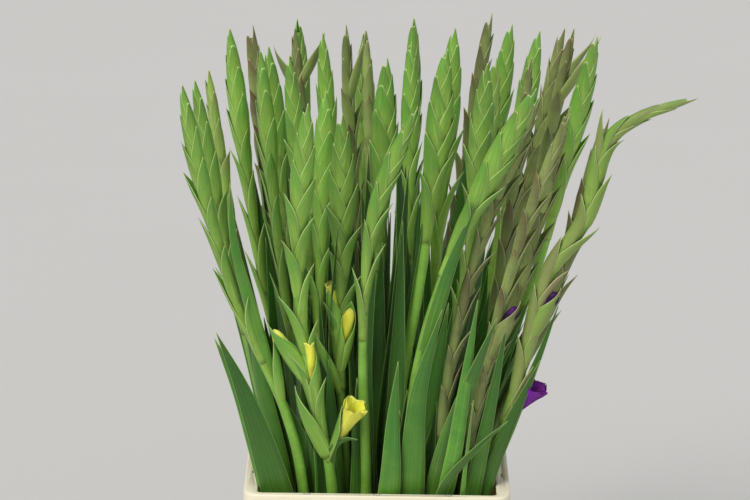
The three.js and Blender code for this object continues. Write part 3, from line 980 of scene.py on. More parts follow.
@dataclass(frozen=True)
class LeafPlan:
    """A sword leaf: through points, or up beside its stalk to a top height.

    Attributes:
        width: Its greatest width.
        start: The height at which it leaves the stalk.
        points: The points that it passes, if it has any.
        top: Otherwise the height of its tip.
        drift: How far its tip drifts to the right of the stalk's line.
        side: 1 where it rises behind the stalk, -1 where it rises in front.
        light: How much lighter it is than the others.
    """

    width: float
    start: float = 230
    points: tuple[Point, ...] = ()
    top: float = 0
    drift: float = 0
    side: float = 1
    light: float = 0


def upright(width: float, top: float, drift: float, side: float) -> tuple[LeafPlan, ...]:
    """One leaf that rises beside its stalk: its width, top, drift and side."""
    return (LeafPlan(width, top=top, drift=drift, side=side),)


@dataclass(frozen=True)
class StemPlan:
    """A stem.

    Attributes:
        rim: Where it crosses the rim's height.
        face: The way that its spike faces, in degrees to the right of the front.
        tip: Where its tip is.
        spike: The spike's length, where it isn't its habit's.
        via: Points that its stalk passes between the rim and the tip.
    """

    name: str
    habit: Habit
    rim: Pair
    face: float
    tip: Point
    leaves: tuple[LeafPlan, ...]
    spike: float = 0
    via: tuple[Point, ...] = ()


STEMS = (
    StemPlan("stem_a1", LOOSE, (-76, -112), -12, (-192, -160, 765), spike=330,
        via=((-92, -121, 415), (-142, -135, 540), (-175, -150, 669)),
        leaves=(
            LeafPlan(34, start=180,
                points=((-101, -130, 336), (-133, -132, 439), (-161, -134, 505))),
            LeafPlan(33, start=175, light=1.1,
                points=((-105, -127, 336), (-137, -129, 437), (-163, -131, 498))),
            LeafPlan(13, start=440,
                points=((-128, -143, 540), (-143, -156, 610), (-146, -160, 668))),
        )),
    StemPlan("stem_a2", LOOSE, (-46, -117), 4, (-72, -159, 748), spike=380,
        via=((-66, -128, 444), (-80, -140, 560)),
        leaves=(
            LeafPlan(22, top=470, drift=20),
            LeafPlan(9, start=352, points=((-44, -130, 384), (-32, -134, 394), (-20, -137, 395))),
        )),
    StemPlan("stem_a3", TIGHT, (-11, -112), 15, (33, -150, 744),
        via=((-16, -126, 500), (-6, -139, 632)),
        leaves=(
            LeafPlan(25, start=200, points=((12, -139, 338), (15, -141, 420), (19, -143, 481))),
            LeafPlan(15, top=585, drift=9),
        )),
    StemPlan("stem_a4", TIGHT, (30, -114), 18, (145, -162, 767), spike=215,
        via=((38, -129, 467), (68, -142, 587)),
        leaves=(
            LeafPlan(27, start=200, points=((35, -133, 345), (39, -142, 440), (61, -158, 541))),
            LeafPlan(15, start=450, points=((48, -139, 500), (68, -149, 580), (93, -160, 655))),
        )),
    StemPlan("stem_a5", DUSKY, (60, -110), 10, (152, -130, 752), spike=400,
        via=((73, -121, 480), (98, -127, 600)),
        leaves=(
            LeafPlan(26, start=210, points=((64, -128, 354), (82, -138, 430), (115, -155, 532))),
            LeafPlan(11, start=250, points=((67, -138, 345), (96, -142, 386), (129, -144, 420))),
            LeafPlan(17, start=260, light=0.9,
                points=((76, -140, 380), (86, -143, 462), (96, -147, 548))),
        )),
    StemPlan("stem_a6", DUSKY, (88, -112), 16, (178, -158, 742), spike=385,
        via=((107, -125, 470), (134, -143, 600)),
        leaves=(
            LeafPlan(17, start=220, points=((97, -127, 340), (112, -132, 430), (126, -143, 526))),
            LeafPlan(5, start=255, light=1.3,
                points=((86, -137, 340), (90, -142, 392), (94, -147, 443))),
        )),
    StemPlan("stem_a7", BENT, (108, -104), 20, (301, -152, 757),
        via=((134, -117, 432), (167, -131, 574), (199, -137, 629), (217, -145, 709),
            (245, -149, 735)),
        leaves=(
            LeafPlan(20, start=220, points=((106, -120, 331), (128, -126, 400), (160, -136, 482))),
            LeafPlan(15, start=225,
                points=((109, -114, 335), (134, -120, 410), (158, -127, 480), (176, -131, 537))),
        )),
    StemPlan("stem_b1", LOOSE, (-100, -70), -20, (-184, -100, 754), upright(22, 560, 16, -1), 300,
        ((-122, -76, 430), (-155, -88, 587))),
    StemPlan("stem_b2", TIGHT, (-66, -68), -6, (-56, -76, 738), upright(22, 600, -24, -1)),
    StemPlan("stem_b3", LOOSE, (-32, -74), -4, (-40, -116, 726), upright(24, 560, 12, 1), 300,
        ((-40, -84, 460), (-38, -99, 581))),
    StemPlan("stem_b4", TIGHT, (17, -70), 8, (61, -101, 789), upright(22, 616, -26, -1), 220,
        ((24, -77, 437), (38, -84, 536), (49, -91, 632))),
    StemPlan("stem_b5", TIGHT, (46, -70), 12, (101, -100, 775), upright(18, 545, 8, -1), 320,
        ((77, -79, 470), (91, -88, 601))),
    StemPlan("stem_b6", DUSKY, (74, -68), 24, (182, -98, 732), upright(22, 540, -14, 1)),
    StemPlan("stem_b7", DUSKY, (104, -68), 18, (220, -98, 722), upright(22, 500, 8, 1), 270),
    StemPlan("stem_c1", DUSKY, (-104, -26), -24, (-174, -38, 748), upright(24, 520, -16, 1)),
    StemPlan("stem_c2", TIGHT, (-72, -24), -12, (-122, -36, 768), upright(26, 590, 22, -1), 320),
    StemPlan("stem_c3", TIGHT, (-38, -28), -4, (-94, -40, 764), upright(26, 600, 30, -1), 335),
    StemPlan("stem_c4", TIGHT, (-6, -26), 2, (3, -36, 763), upright(26, 575, 2, -1), 225),
    StemPlan("stem_c5", TIGHT, (30, -24), 10, (27, -34, 779), upright(24, 600, 14, -1)),
    StemPlan("stem_c6", TIGHT, (64, -24), 14, (112, -36, 764), upright(26, 520, -12, -1), 330),
    StemPlan("stem_c7", DUSKY, (92, -26), 6, (146, -38, 765), upright(22, 540, -12, 1)),
    StemPlan("stem_d1", TIGHT, (-90, 20), -10, (-156, 30, 774), upright(26, 560, 12, -1), 340),
    StemPlan("stem_d2", TIGHT, (-58, 20), -20, (-117, 30, 756), upright(24, 610, 24, -1)),
    StemPlan("stem_d3", TIGHT, (-24, 22), 5, (-62, 28, 772), upright(26, 620, 20, 1)),
    StemPlan("stem_d4", DUSKY, (8, 20), 70, (-18, 30, 774), upright(26, 600, 14, -1), 230),
    StemPlan("stem_d5", TIGHT, (42, 20), 8, (72, 30, 778), upright(26, 590, -14, -1)),
    StemPlan("stem_d6", TIGHT, (74, 20), 14, (158, 32, 776), upright(24, 560, -16, -1)),
    StemPlan("stem_d7", TIGHT, (104, 20), 26, (216, 28, 772), upright(24, 570, -20, -1), 220),
    StemPlan("stem_e1", DUSKY, (-76, 66), 14, (-138, 94, 762), upright(26, 560, 14, 1)),
    StemPlan("stem_e2", DUSKY, (-40, 66), -30, (-92, 94, 760), upright(26, 600, 20, 1), 240),
    StemPlan("stem_e3", DUSKY, (-6, 66), 30, (-40, 94, 764), upright(28, 580, 20, 1), 230),
    StemPlan("stem_e4", TIGHT, (28, 66), 60, (31, 94, 772), upright(26, 610, 10, 1)),
    StemPlan("stem_e5", TIGHT, (62, 66), 10, (132, 92, 768), upright(26, 560, -16, 1)),
    StemPlan("stem_e6", DUSKY, (94, 66), 24, (196, 92, 764), upright(24, 540, -16, 1)),
    StemPlan("stem_f1", TIGHT, (-70, 110), 175, (-90, 156, 754), upright(30, 560, -18, 1)),
    StemPlan("stem_f2", TIGHT, (-10, 110), 170, (-20, 154, 740), upright(28, 540, -20, 1)),
    StemPlan("stem_f3", DUSKY, (40, 108), 8, (112, 156, 764), upright(28, 540, -14, 1)),
    StemPlan("stem_f4", DUSKY, (84, 106), -28, (190, 150, 750), upright(26, 520, -18, 1)),
)


# Green spikes with a greyer, olive skin
OLIVE = ("stem_a7", "stem_c1", "stem_c6")

# Spikes that are flushed more or less than their habit's, and how much
FLUSHED = {
    "stem_a1": 0.12, "stem_a5": 0.9, "stem_a6": 0.85, "stem_a7": 1.5, "stem_b5": 0.55,
    "stem_b6": 0.8, "stem_c1": 0.7, "stem_c3": 0.35, "stem_c6": 0.5, "stem_d4": 0.3,
    "stem_d5": 0.25, "stem_d6": 0.4, "stem_e1": 1.0, "stem_e2": 0.4, "stem_e3": 0.3,
    "stem_e6": 0.6, "stem_f4": 0.75,
}
FLUSHED_USUALLY = {True: 1.0, False: 0.06}

# How the flush of a green spike grows with the distance below its tip, in mm, and the same for
# the bent spike, which is clear green at its bend
FLUSH_GROWTH = ((0, 60, 150), (0.35, 0.5, 1.0))
BENT_FLUSH_GROWTH = {"stem_a7": ((0, 38, 58, 108, 165), (0.8, 0.7, 0.05, 0.1, 0.85))}

# Stems whose open bracts are painted lighter than their spike, a painted light where the rows in
# front shade them
BRACT_PAINTED_LIGHT = {"stem_b3": 0.9}

# Stalks that are painted lighter than the others, a painted light where they lie in shade, or
# thicker
STALK_PAINTED_LIGHT = {"stem_b4": 1.5, "stem_a1": 0.8}
STALK_SIZES = {"stem_b4": 1.3}

# Spikes that are broader or narrower than their habit's, and how much
BREADTHS = {
    "stem_a1": 0.9, "stem_a2": 1.15, "stem_a3": 0.85, "stem_a4": 1.12, "stem_b1": 0.9,
    "stem_b3": 1.2, "stem_b4": 1.12, "stem_c2": 0.85, "stem_c3": 0.9, "stem_c4": 1.08,
    "stem_c5": 0.8, "stem_d1": 0.92, "stem_d3": 0.75, "stem_d7": 1.05, "stem_e1": 1.3,
    "stem_e6": 1.12, "stem_f3": 1.15, "stem_f4": 1.15,
}


class Tint(Enum):
    """The colour of a bud's or flower's petals."""

    YELLOW = "yellow"
    PURPLE = "purple"


YELLOW, PURPLE = Tint


@dataclass(frozen=True)
class BudPlan:
    """A bud in a bract: its bract's root, the way it leans, how far it shows and is wrapped.

    Ways are in degrees to the right of the front. The bract's back faces its own way. The petals
    show up to a share of its length, and their tips stand open or are rolled shut.
    """

    name: str
    stem: str
    height: float
    turn: float
    lean: float
    length: float
    shows: float
    wrap: float
    back: float
    opened: bool
    tint: Tint


BUDS = (
    BudPlan("yellow_bud_1", "stem_a2", 417, 52, 8, 84, 1.0, 102, 150, True, YELLOW),
    BudPlan("yellow_bud_2", "stem_a2", 446, -74, 20, 90, 0.86, 98, -66, False, YELLOW),
    BudPlan("yellow_bud_3", "stem_b3", 448, 48, 14, 84, 0.9, 103, 184, False, YELLOW),
    BudPlan("yellow_bud_4", "stem_b3", 471, -50, 7, 80, 0.97, 84, -70, True, YELLOW),
    BudPlan("purple_bud_1", "stem_a7", 496, 72, 13, 70, 0.9, 90, 72, False, PURPLE),
    BudPlan("purple_bud_2", "stem_a6", 481, 68, 12.5, 72, 0.89, 84, 68, False, PURPLE),
)


@dataclass(frozen=True)
class BractPlan:
    """An open bract without a bud: its root, the way it leans, its length and its breadth."""

    stem: str
    height: float
    turn: float
    lean: float
    length: float
    size: float

    @property
    def back(self) -> float:
        """The way that its back faces, which is the way that it leans."""
        return self.turn


BRACTS = (
    BractPlan("stem_a2", 372, -72, 9, 86, 1.4),
    BractPlan("stem_b3", 424, -52, 17, 84, 0.85),
    BractPlan("stem_a1", 428, 70, 12, 80, 0.8),
    BractPlan("stem_a7", 668, -60, 4, 78, 0.66),
    BractPlan("stem_e2", 700, 82, 27, 64, 1.0),
    BractPlan("stem_e2", 690, -80, 20, 60, 0.95),
    BractPlan("stem_e6", 686, 80, 19, 86, 1.0),
    BractPlan("stem_f4", 678, 82, 23, 82, 0.95),
    BractPlan("stem_e3", 684, 80, 14, 74, 0.9),
)


@dataclass(frozen=True)
class FlowerPlan:
    """An opened flower: its bract's root, the way it leans, its size, its foot and its mouth.

    The bract's back faces its own way, and the bract covers a share of its usual length. The
    flower's foot is a few mm above the bract's root.
    """

    name: str
    stem: str
    height: float
    turn: float
    lean: float
    size: float
    foot: float
    mouth: float
    back: float
    sheath: float
    tint: Tint
    length: ClassVar[float] = 52


FLOWERS = (
    FlowerPlan("yellow_flower", "stem_a2", 365, 74, 33, 0.94, 25.0, 0.86, -96, 1.3, YELLOW),
    FlowerPlan("purple_flower", "stem_a7", 403, 80, 16, 0.86, 12.0, 1.0, -100, 0.7, PURPLE),
)


@dataclass(frozen=True)
class Seat:
    """Where a bract grows.

    Attributes:
        root: Its root.
        along: The direction that it grows in.
        keel: The direction from its middle to its back.
        length: Its length.
    """

    root: Array
    along: Array
    keel: Array
    length: float

    @property
    def across(self) -> Array:
        """The direction across the bract."""
        return np.cross(self.along, self.keel)

    def outward(self, angle: Array) -> Array:
        """The directions from its middle at angles (radians) from its keel."""
        return around(angle, self.keel, self.across)


@dataclass(frozen=True)
class SheathForm:
    """The form of a bract folded round the spike, where habits don't differ.

    Attributes:
        turn: How far to its side its root and its point face, in degrees.
        skin: How thick it is.
        layer: How far inside the bracts above it its root lies, on a broad spike.
        broad: Half that breadth, and how far below its point it is measured.
        root: The share of its length in which it narrows to the stalk, and its gap to the stalk.
        stands: The least and most that it stands off, as shares of its law's.
        stray: How far its turn strays, in degrees, at the tip and lower down.
        loose: How far below the tip it strays in full.
        wrap_stray: How far its wrap strays, in degrees.
        bow: How far round its point's own axis it reaches, in degrees.
        bow_from: The share of its length from which its point takes the form of a bow.
        bow_stand: The distance off the spike at which it does so in full.
        tones: How much its tone strays, on a green and on a dusky spike.
        withered: How often its point withers, and from which share of its length on.
    """

    rows: int = 17
    columns: int = 11
    turn: Pair = (46, 62)
    skin: float = 0.35
    layer: float = 2.8
    broad: Pair = (10, 12)
    root: Pair = (0.2, 0.3)
    stands: Pair = (0.4, 1.4)
    stray: Pair = (5, 13)
    loose: float = 120
    wrap_stray: float = 4
    wave: float = 0.02
    ridge: float = 0.05
    bow: Pair = (112, 80)
    bow_from: float = 0.3
    bow_stand: float = 5
    tones: Pair = (0.12, 0.26)
    withered: Pair = (0.05, 0.8)
    withered_dusky: Pair = (0.26, 0.62)


@dataclass(frozen=True)
class BladeForm:
    """The form of a sword leaf: half its width at both ends, where it is widest, and the rest."""

    rows: int = 22
    columns: int = 5
    root: float = 4.2
    tip: float = 0.35
    widest: float = 0.3
    half_thickness: float = 0.32
    twist: float = 7
    slow_sway: float = 0.035
    quick_sway: float = 0.03
    tones: float = 0.34
    flush: float = 0.12
    dry_from: float = 0.93


@dataclass(frozen=True)
class FurtherLeaves:
    """The leaves that fill in among the stems. Pairs are the ends of random draws."""

    count: int = 4
    count_in_front: int = 2
    # The leaves that fill in are painted darker, a painted shade among the stems
    light: float = -0.55
    fold: float = 0.3
    start: Pair = (180, 250)
    behind: Pair = (-1.2, 1.2)
    away: Pair = (9, 15)
    turn: float = 25
    width: Pair = (18, 29)
    sideways: Pair = (-16, 16)
    across_rows: Pair = (-26, 26)
    across_front: Pair = (-6, 6)
    tops: Pair = (440, 690)
    left_tops: Pair = (440, 640)
    right_tops: Pair = (420, 550)
    front_tops: Pair = (410, 480)
    right_from: float = 40


@dataclass
class Stem:
    """One cut stem: stalk, spike of folded bracts and sword leaves.

    Attributes:
        order: Its place among the stems, which sets its random draws.
        foot_spread: How far out its foot is, as a share of its distance at the rim.
        bend: How far up, and how far out, it bends where no points are planned, as shares.
        stalk_radius: Its radius at its foot, the rim, the spike's start and the tip.
        joints: The stalk's joints, as shares of its length below the spike.
        joint_spread: How long a joint is, as a share of the stem's length.
        shaded_from: The height above the foot from which the stalk changes colour.
        stalk_flush: A dusky stalk's flush at its foot, and how much it grows further up.
        flattened: How much flatter a spike is that is this much broader than its stalk.
        core_drop: How far below the tip the spike's inner body ends.
        core_share: The most that this body takes up of the spike's breadth.
        bud_bract: The radius of a bud's bract from root to point, then of other open ones.
        open_taper: How their reach changes from root to point.
        bud_room: How near a bud's root no folded bract grows on the bud's side.
        clearance: How far a planned leaf stands off the stalk.
        leaf_turns: The ways that planned leaves face in turn, in degrees.
        leaf_fold: How deeply planned leaves are folded.
        outer_row: How far to the front or back an outer row is at the rim.
        outer_side: How far to a side an outer stem is there.
        breadths: The ends between which the spike's breadth is drawn, as shares.
        tones: The same for its tone.
        twisted: How far its ranks twist round it, in degrees.
        turned: How far it turns from the planned way, in degrees.
    """

    plan: StemPlan
    order: int
    palette: Palette
    foot_height: float = 3.3
    foot_spread: float = 0.8
    straight_to: float = 130
    bend: Pair = (0.46, 0.56)
    stalk_radius: tuple[float, float, float, float] = (6.4, 5.4, 4.7, 1.4)
    stalk_sides: int = 14
    stalk_rings: int = 64
    joints: Numbers = (0.5, 0.7, 11 / 12)
    joint_swell: float = 0.3
    joint_spread: float = 0.006
    shaded_from: float = 250
    shaded_over: float = 450
    stalk_flush: Pair = (0.16, 0.16)
    sheath: SheathForm = SheathForm()
    flattened: Pair = (0.26, 6)
    core_drop: float = 14
    core_share: float = 0.72
    core_flush: float = 0.3
    bud_bract: Numbers = (5.4, 8.0, 10.4, 8.8, 3.4)
    open_bract: Numbers = (5.2, 7.4, 9.4, 8.0, 3.0)
    open_wrap: float = 98
    open_taper: Numbers = (1.3, 1.1, 1.05, 0.9, 0.0)
    flower_bract: Numbers = (5.0, 5.5, 7.6, 11.0, 12.4)
    flower_wrap: float = 76
    bud_room: float = 16
    blade: BladeForm = BladeForm()
    further: FurtherLeaves = FurtherLeaves()
    clearance: float = 17
    leaf_turns: Numbers = (-32, 26, -18, 36, 12)
    leaf_fold: float = 0.2
    outer_row: float = 100
    outer_side: float = 85
    breadths: Pair = (0.94, 1.06)
    tones: Pair = (0.1, 0.8)
    twisted: float = 14
    turned: float = 26

    def __post_init__(self) -> None:
        """Lays the stem's centre line and finds where its spike starts and ends."""
        plan = self.plan
        rim = np.array([*plan.rim, RIM_HEIGHT], float)
        foot = np.array([*(np.array(plan.rim) * self.foot_spread), self.foot_height])
        tip = np.array(plan.tip, float)
        straight = (self.straight_to - self.foot_height) / (RIM_HEIGHT - self.foot_height)
        bends = [np.array(point, float) for point in plan.via]
        if not bends:
            bend = between((rim, tip), self.bend[1])
            bend[2] = between((rim[2], tip[2]), self.bend[0])
            bends = [bend]
        self.path = Path([foot, between((foot, rim), straight), rim, *bends, tip])
        self.law = LAWS[plan.habit]
        self.front = math.radians(plan.face)
        self.spike_length = plan.spike or self.law.length
        self.spike_start = 1 - self.spike_length / self.path.length
        self.spike_end = 1 - self.law.long[0] / self.path.length
        self.random = np.random.default_rng(SEED + self.order)
        self.dusky = plan.habit is DUSKY
        self.breadth = BREADTHS.get(plan.name, 1.0) * float(self.random.uniform(*self.breadths))
        self.twist = math.radians(self.random.normal() * self.twisted)
        self.front += math.radians(self.random.uniform(-self.turned, self.turned))
        self.tone = float(self.random.uniform(*self.tones))
        self.sunny = float(self.random.uniform(0, math.tau))
        self.buds = [bud for bud in BUDS if bud.stem == plan.name]

    # Stalk

    def radius_at(self, share: Array) -> Array:
        """The stalk's radius.

        Args:
            share: Shares of the stem's length.

        Returns:
            The radius at each.
        """
        foot, rim, top, tip = self.stalk_radius
        top *= STALK_SIZES.get(self.plan.name, 1.0)
        stops = (0, self.path.share_at(RIM_HEIGHT), self.spike_start, 1)
        return np.interp(share, stops, (foot, rim, top, tip))

    def ring(self, centres: Array, tangents: Array, radius: Array, sides: int) -> Array:
        """Rings of points round centres, square to the tangents.

        Args:
            centres: Their middles, of shape (n, 3).
            tangents: The directions that they are square to, of shape (n, 3).
            radius: Their radii, of shape (n,) or (n, sides).
            sides: The number of points in each.

        Returns:
            Points of shape (n, sides, 3).
        """
        ahead = squared_to(facing(self.front), tangents)
        right = np.cross(tangents, ahead)
        angle = np.linspace(0, math.tau, sides, endpoint=False)[None, :]
        radius = np.asarray(radius, float).reshape(len(centres), -1)
        wide = np.broadcast_to(radius, (len(centres), sides))
        return centres[:, None] + around(angle, ahead[:, None], right[:, None]) * wide[..., None]

    def _round(self, shape: Shape, share: Array, radius: Array, **values: float | Array) -> None:
        """Adds a round body along the stem.

        Args:
            shape: The shape that it goes into.
            share: The shares of the stem's length at which its rings lie.
            radius: Their radii.
            **values: Its values.
        """
        rings = self.ring(self.path.at(share), self.path.tangent(share), radius, self.stalk_sides)
        if share[0] == 0:
            rings[0, :, 2] = self.foot_height
        across = np.linspace(-1, 1, self.stalk_sides, endpoint=False)[None, :]
        shape.tube(rings, across=across, edge=FAR_IN, **values)

    def stalk(self) -> Piece:
        """The round stalk, with its cut foot and slight joints where leaves and bracts grow.

        Returns:
            The piece.
        """
        share = np.linspace(0, self.spike_end, self.stalk_rings)
        radius = self.radius_at(share)
        for joint in self.joints:
            off = (share - joint * self.spike_start) / self.joint_spread
            radius = radius + self.joint_swell * np.exp(-(off**2))
        up = (share * self.path.length - self.shaded_from) / self.shaded_over
        along = np.clip(up, 0, 1)[:, None]
        low, more = self.stalk_flush
        shape = Shape()
        # A few stalks get a painted light on their tone
        self._round(
            shape, share, radius, along=along, tone=STALK_PAINTED_LIGHT.get(self.plan.name, 0.5),
            flush=(low + more * along) * self.dusky,
        )
        material = self.palette.stalk_dusky if self.dusky else self.palette.stalk_green
        return shape.build(self.plan.name + "_stalk", material)

    # Spike

    def seat(self, plan: BudPlan | BractPlan | FlowerPlan) -> Seat:
        """Where an open bract grows, with what it holds.

        Args:
            plan: The bud, bract or flower.

        Returns:
            The seat.
        """
        share = self.path.share_at(plan.height)
        tangent = self.path.tangent(share)
        outward = squared_to(facing(math.radians(plan.turn)), tangent)
        lean = math.radians(plan.lean)
        along = tangent * math.cos(lean) + outward * math.sin(lean)
        keel = squared_to(facing(math.radians(plan.back)), along)
        return Seat(self.path.at(share), along, keel, plan.length)

    def _flatness(self, wide: Array, stalk: Array) -> Array:
        """How deep the spike is from front to back, as a share of its breadth."""
        most, over = self.flattened
        return 1 - most * np.clip((wide - stalk) / over, 0, 1)[:, None]

    def _girth(self, share: Array, drop: float, down: Array, stalk: Array) -> Array:
        """Half the breadth of the spike inside a bract.

        Args:
            share: Shares of the bract's length.
            drop: How far its point is below the spike's tip.
            down: How far each share is below it.
            stalk: The stalk's radius there.

        Returns:
            The half breadth at each share. The root lies on the stalk, the point on the others.
        """
        form = self.sheath
        broad, below = form.broad
        body = self.law.half_breadth(down) * self.breadth
        near = min(1.0, float(self.law.half_breadth(drop + below)) * self.breadth / broad)
        inside = body - form.layer * near * (1 - share)
        wide = np.maximum(inside, np.minimum(stalk + form.skin, body))
        narrows, gap = form.root
        root = np.clip(1 - share / narrows, 0, 1) ** 1.5
        return wide * (1 - root) + np.minimum(stalk + gap, wide) * root

    def _sheath(self, shape: Shape, drop: float, side: float, length: float) -> None:
        """Adds one bract that folds round the spike and rises to a point on its side.

        Args:
            shape: The spike's shape.
            drop: How far its point is below the spike's tip.
            side: -1 for the left rank, 1 for the right one.
            length: Its length.
        """
        draw, law, form = self.random, self.law, self.sheath
        s, rows, columns = grid(form.rows, form.columns, 0.9)
        down = drop + (1 - s) * length
        height = 1 - down / self.path.length
        axis, tangent = self.path.at(height), self.path.tangent(height)
        ahead = squared_to(facing(self.front), tangent)
        right = np.cross(tangent, ahead)
        stalk = self.radius_at(height)
        wide = self._girth(s, drop, down, stalk)
        off = law.stand(drop) * self.breadth * s**2.2 * draw.uniform(*form.stands)
        # The way that it faces along its length, and how far round it reaches on each side
        up = (height - self.spike_start) / (1 - self.spike_start)
        stray = math.radians(draw.normal() * between(form.stray, min(drop / form.loose, 1.0)))
        turn = np.radians(between(form.turn, s)) * side + stray + self.twist * up
        wrap = math.radians(law.wrap + form.wrap_stray * draw.normal())
        before, behind = (wrap * law.reach(fold, s, drop) for fold in (law.fold, law.fold_behind))
        half = np.where(columns * side > 0, behind[:, None], before[:, None])
        angle = turn[:, None] + half * columns
        # Its root half lies round the flattened spike, slightly keeled and waved
        flat_ahead = self._flatness(wide, stalk) * ahead
        wave = 1 + form.wave * np.sin(5 * rows + draw.uniform(0, math.tau)) * columns**2
        ridge = form.ridge * np.maximum(1 - np.abs(columns) * 2.2, 0) * rows
        out = wide[:, None] * (wave + ridge)
        outward = around(angle, flat_ahead[:, None], right[:, None])
        keel = around(turn, flat_ahead, right)
        face = axis[:, None] + outward * out[..., None] + (keel * off[:, None])[:, None]
        # Its point is folded like the bow of a boat
        boat = wide * (1 - np.clip((s - form.bow_from) / (1 - form.bow_from), 0, 1) ** 1.8)
        bow = np.radians(between(form.bow, s))[:, None] * columns
        beam = unit(np.cross(tangent, keel))
        hull = axis[:, None] + (keel * (wide + off - boat)[:, None])[:, None]
        hull = hull + around(bow, keel[:, None], beam[:, None]) * boat[:, None, None]
        share = np.clip((s - form.bow_from) / 0.45, 0, 1) ** 1.5
        share = min(law.stand(drop) / form.bow_stand, 1.0) * share
        face = between((face, hull), share[:, None, None])
        # It is thinner towards its margins and its point
        thin = form.skin * (1 - 0.6 * np.abs(columns) ** 6) * (1 - 0.5 * rows**6)
        thin = np.minimum(thin, 0.6 * wide[:, None])
        margin = (1 - np.abs(columns)) * half * wide[:, None]
        tone = self.tone + form.tones[self.dusky] * draw.normal()
        shape.shell(
            face, face - unit(outward) * thin[..., None], across=columns, along=rows**1.2,
            edge=np.minimum(margin, (1 - rows) * length), tone=np.clip(tone, -0.3, 1.2),
            flush=self._flush(rows, angle, drop), dry=self._dryness(rows),
        )

    def _flush(self, along: Array, angle: Array, drop: float = 200.0) -> Array:
        """How brown or purple a bract is flushed: more on the stem's own sunny side.

        Args:
            along: The share of the bract's length.
            angle: The way that each place faces, in radians.
            drop: How far the bract's point is below the spike's tip.

        Returns:
            The flush, from 0 to 1. A green spike has little of it near its tip.
        """
        own = self.random.uniform(0.28, 1.05)
        own *= FLUSHED.get(self.plan.name, FLUSHED_USUALLY[self.dusky])
        if not self.dusky:
            own *= float(np.interp(drop, *BENT_FLUSH_GROWTH.get(self.plan.name, FLUSH_GROWTH)))
        return own * (0.3 + 0.7 * along) * (0.62 + 0.38 * np.sin(angle + self.sunny))

    def _dryness(self, along: Array) -> Array:
        """How withered a bract is: mostly the tips of a few.

        Args:
            along: The share of the bract's length.

        Returns:
            The dryness, from 0 to 1.
        """
        chance, start = self.sheath.withered_dusky if self.dusky else self.sheath.withered
        own = self.random.uniform(0.4, 0.95) if self.random.random() < chance else 0.0
        return own * np.clip((along - start) / (1 - start), 0, 1) ** 1.5

    def _open_bract(
        self, shape: Shape, seat: Seat, radius: Numbers, wrap: float, stop: float = 1.0,
        closed: bool = False,
    ) -> None:
        """Adds a bract that stands open round a bud or flower.

        Args:
            shape: The spike's shape.
            seat: Where it grows.
            radius: Its radius from its root to its tip, as a profile.
            wrap: How far it reaches round to each side of its keel, in degrees.
            stop: The share of the seat's length at which it ends.
            closed: Whether its lower half closes right round what it holds.
        """
        form = self.sheath
        s, rows, columns = grid(form.rows + 4, form.columns)
        centre = seat.root + seat.along * (rows * seat.length * stop)
        wide = bezier(radius, s)[:, None]
        if closed:
            taper = 1.75 * (1 - np.clip((rows - 0.45) / 0.55, 0, 1) ** 1.3) ** 0.9
        else:
            taper = bezier(self.open_taper, rows)
        half = np.radians(wrap) * taper
        angle = half * columns
        outward = seat.outward(angle)
        face = centre[:, None] + outward * wide[..., None]
        margin = (1 - np.abs(columns)) * half * wide
        tone = np.clip(self.tone + 0.1 * self.random.normal(), 0, 1)
        # Some stems' open bracts get a painted light on their tone
        shape.shell(
            face, face - outward * form.skin, across=columns, along=rows,
            edge=np.minimum(margin, (1 - rows) * seat.length),
            tone=tone + BRACT_PAINTED_LIGHT.get(self.plan.name, 0), flush=self._flush(rows, angle),
            dry=self._dryness(rows),
        )

    def _core(self, shape: Shape) -> None:
        """Adds the spike's inner body, which its bracts grow out of.

        Args:
            shape: The spike's shape.
        """
        down = np.linspace(self.spike_length, self.core_drop, self.stalk_rings)
        height = 1 - down / self.path.length
        form = self.sheath
        body = self.law.half_breadth(down) * self.breadth
        near = self.law.half_breadth(np.maximum(down - 40, 0)) * self.breadth / form.broad[0]
        inside = body - form.layer * np.minimum(near, 1) - form.skin
        wide = np.minimum(inside, self.core_share * body)
        flat = self._flatness(wide, self.radius_at(height))
        angle = np.linspace(0, math.tau, self.stalk_sides, endpoint=False)[None, :]
        oval = flat / np.sqrt(np.cos(angle) ** 2 + (flat * np.sin(angle)) ** 2)
        self._round(
            shape, height, wide[:, None] * oval,
            along=np.clip(1 - down / self.spike_length, 0, 1)[:, None], tone=self.tone,
            flush=self.core_flush * self.dusky,
        )

    def spike(self) -> Piece:
        """Every bract of the stem, folded round the spike in two ranks or standing open.

        Returns:
            The piece.
        """
        name = self.plan.name
        shape = Shape()
        self._core(shape)
        for number, (drop, length) in enumerate(self.law.bracts(self.spike_length)):
            side = 1 if number % 2 == 0 else -1
            foot = float(self.path.at(1 - (drop + length) / self.path.length)[2])
            near = [bud for bud in self.buds if abs(foot - bud.height) < self.bud_room]
            if not any(side * bud.turn > 0 for bud in near):
                self._sheath(shape, drop, side, length)
        for bud in self.buds:
            self._open_bract(shape, self.seat(bud), self.bud_bract, bud.wrap, closed=True)
        for bract in (bract for bract in BRACTS if bract.stem == name):
            radius = tuple(wide * bract.size for wide in self.open_bract)
            self._open_bract(shape, self.seat(bract), radius, self.open_wrap)
        for flower in (flower for flower in FLOWERS if flower.stem == name):
            radius, wrap = self.flower_bract, self.flower_wrap
            self._open_bract(shape, self.seat(flower), radius, wrap, flower.sheath)
        material = self.palette.bract_dusky if self.dusky else self.palette.bract_green
        if name in OLIVE:
            material = self.palette.bract_olive
        return shape.build(name + "_spike", material)

    # Leaves

    def half_width(self, share: Array, width: float) -> Array:
        """Half the width of a blade.

        Args:
            share: Shares of its length.
            width: Its greatest width.

        Returns:
            Half its width at each share.
        """
        widest = self.blade.widest
        rise = between((self.blade.root, width / 2), np.clip(share / widest, 0, 1))
        rest = np.clip((share - widest) / (1 - widest), 0, 1)
        return np.where(share < widest, rise, between((width / 2, self.blade.tip), rest**1.8))

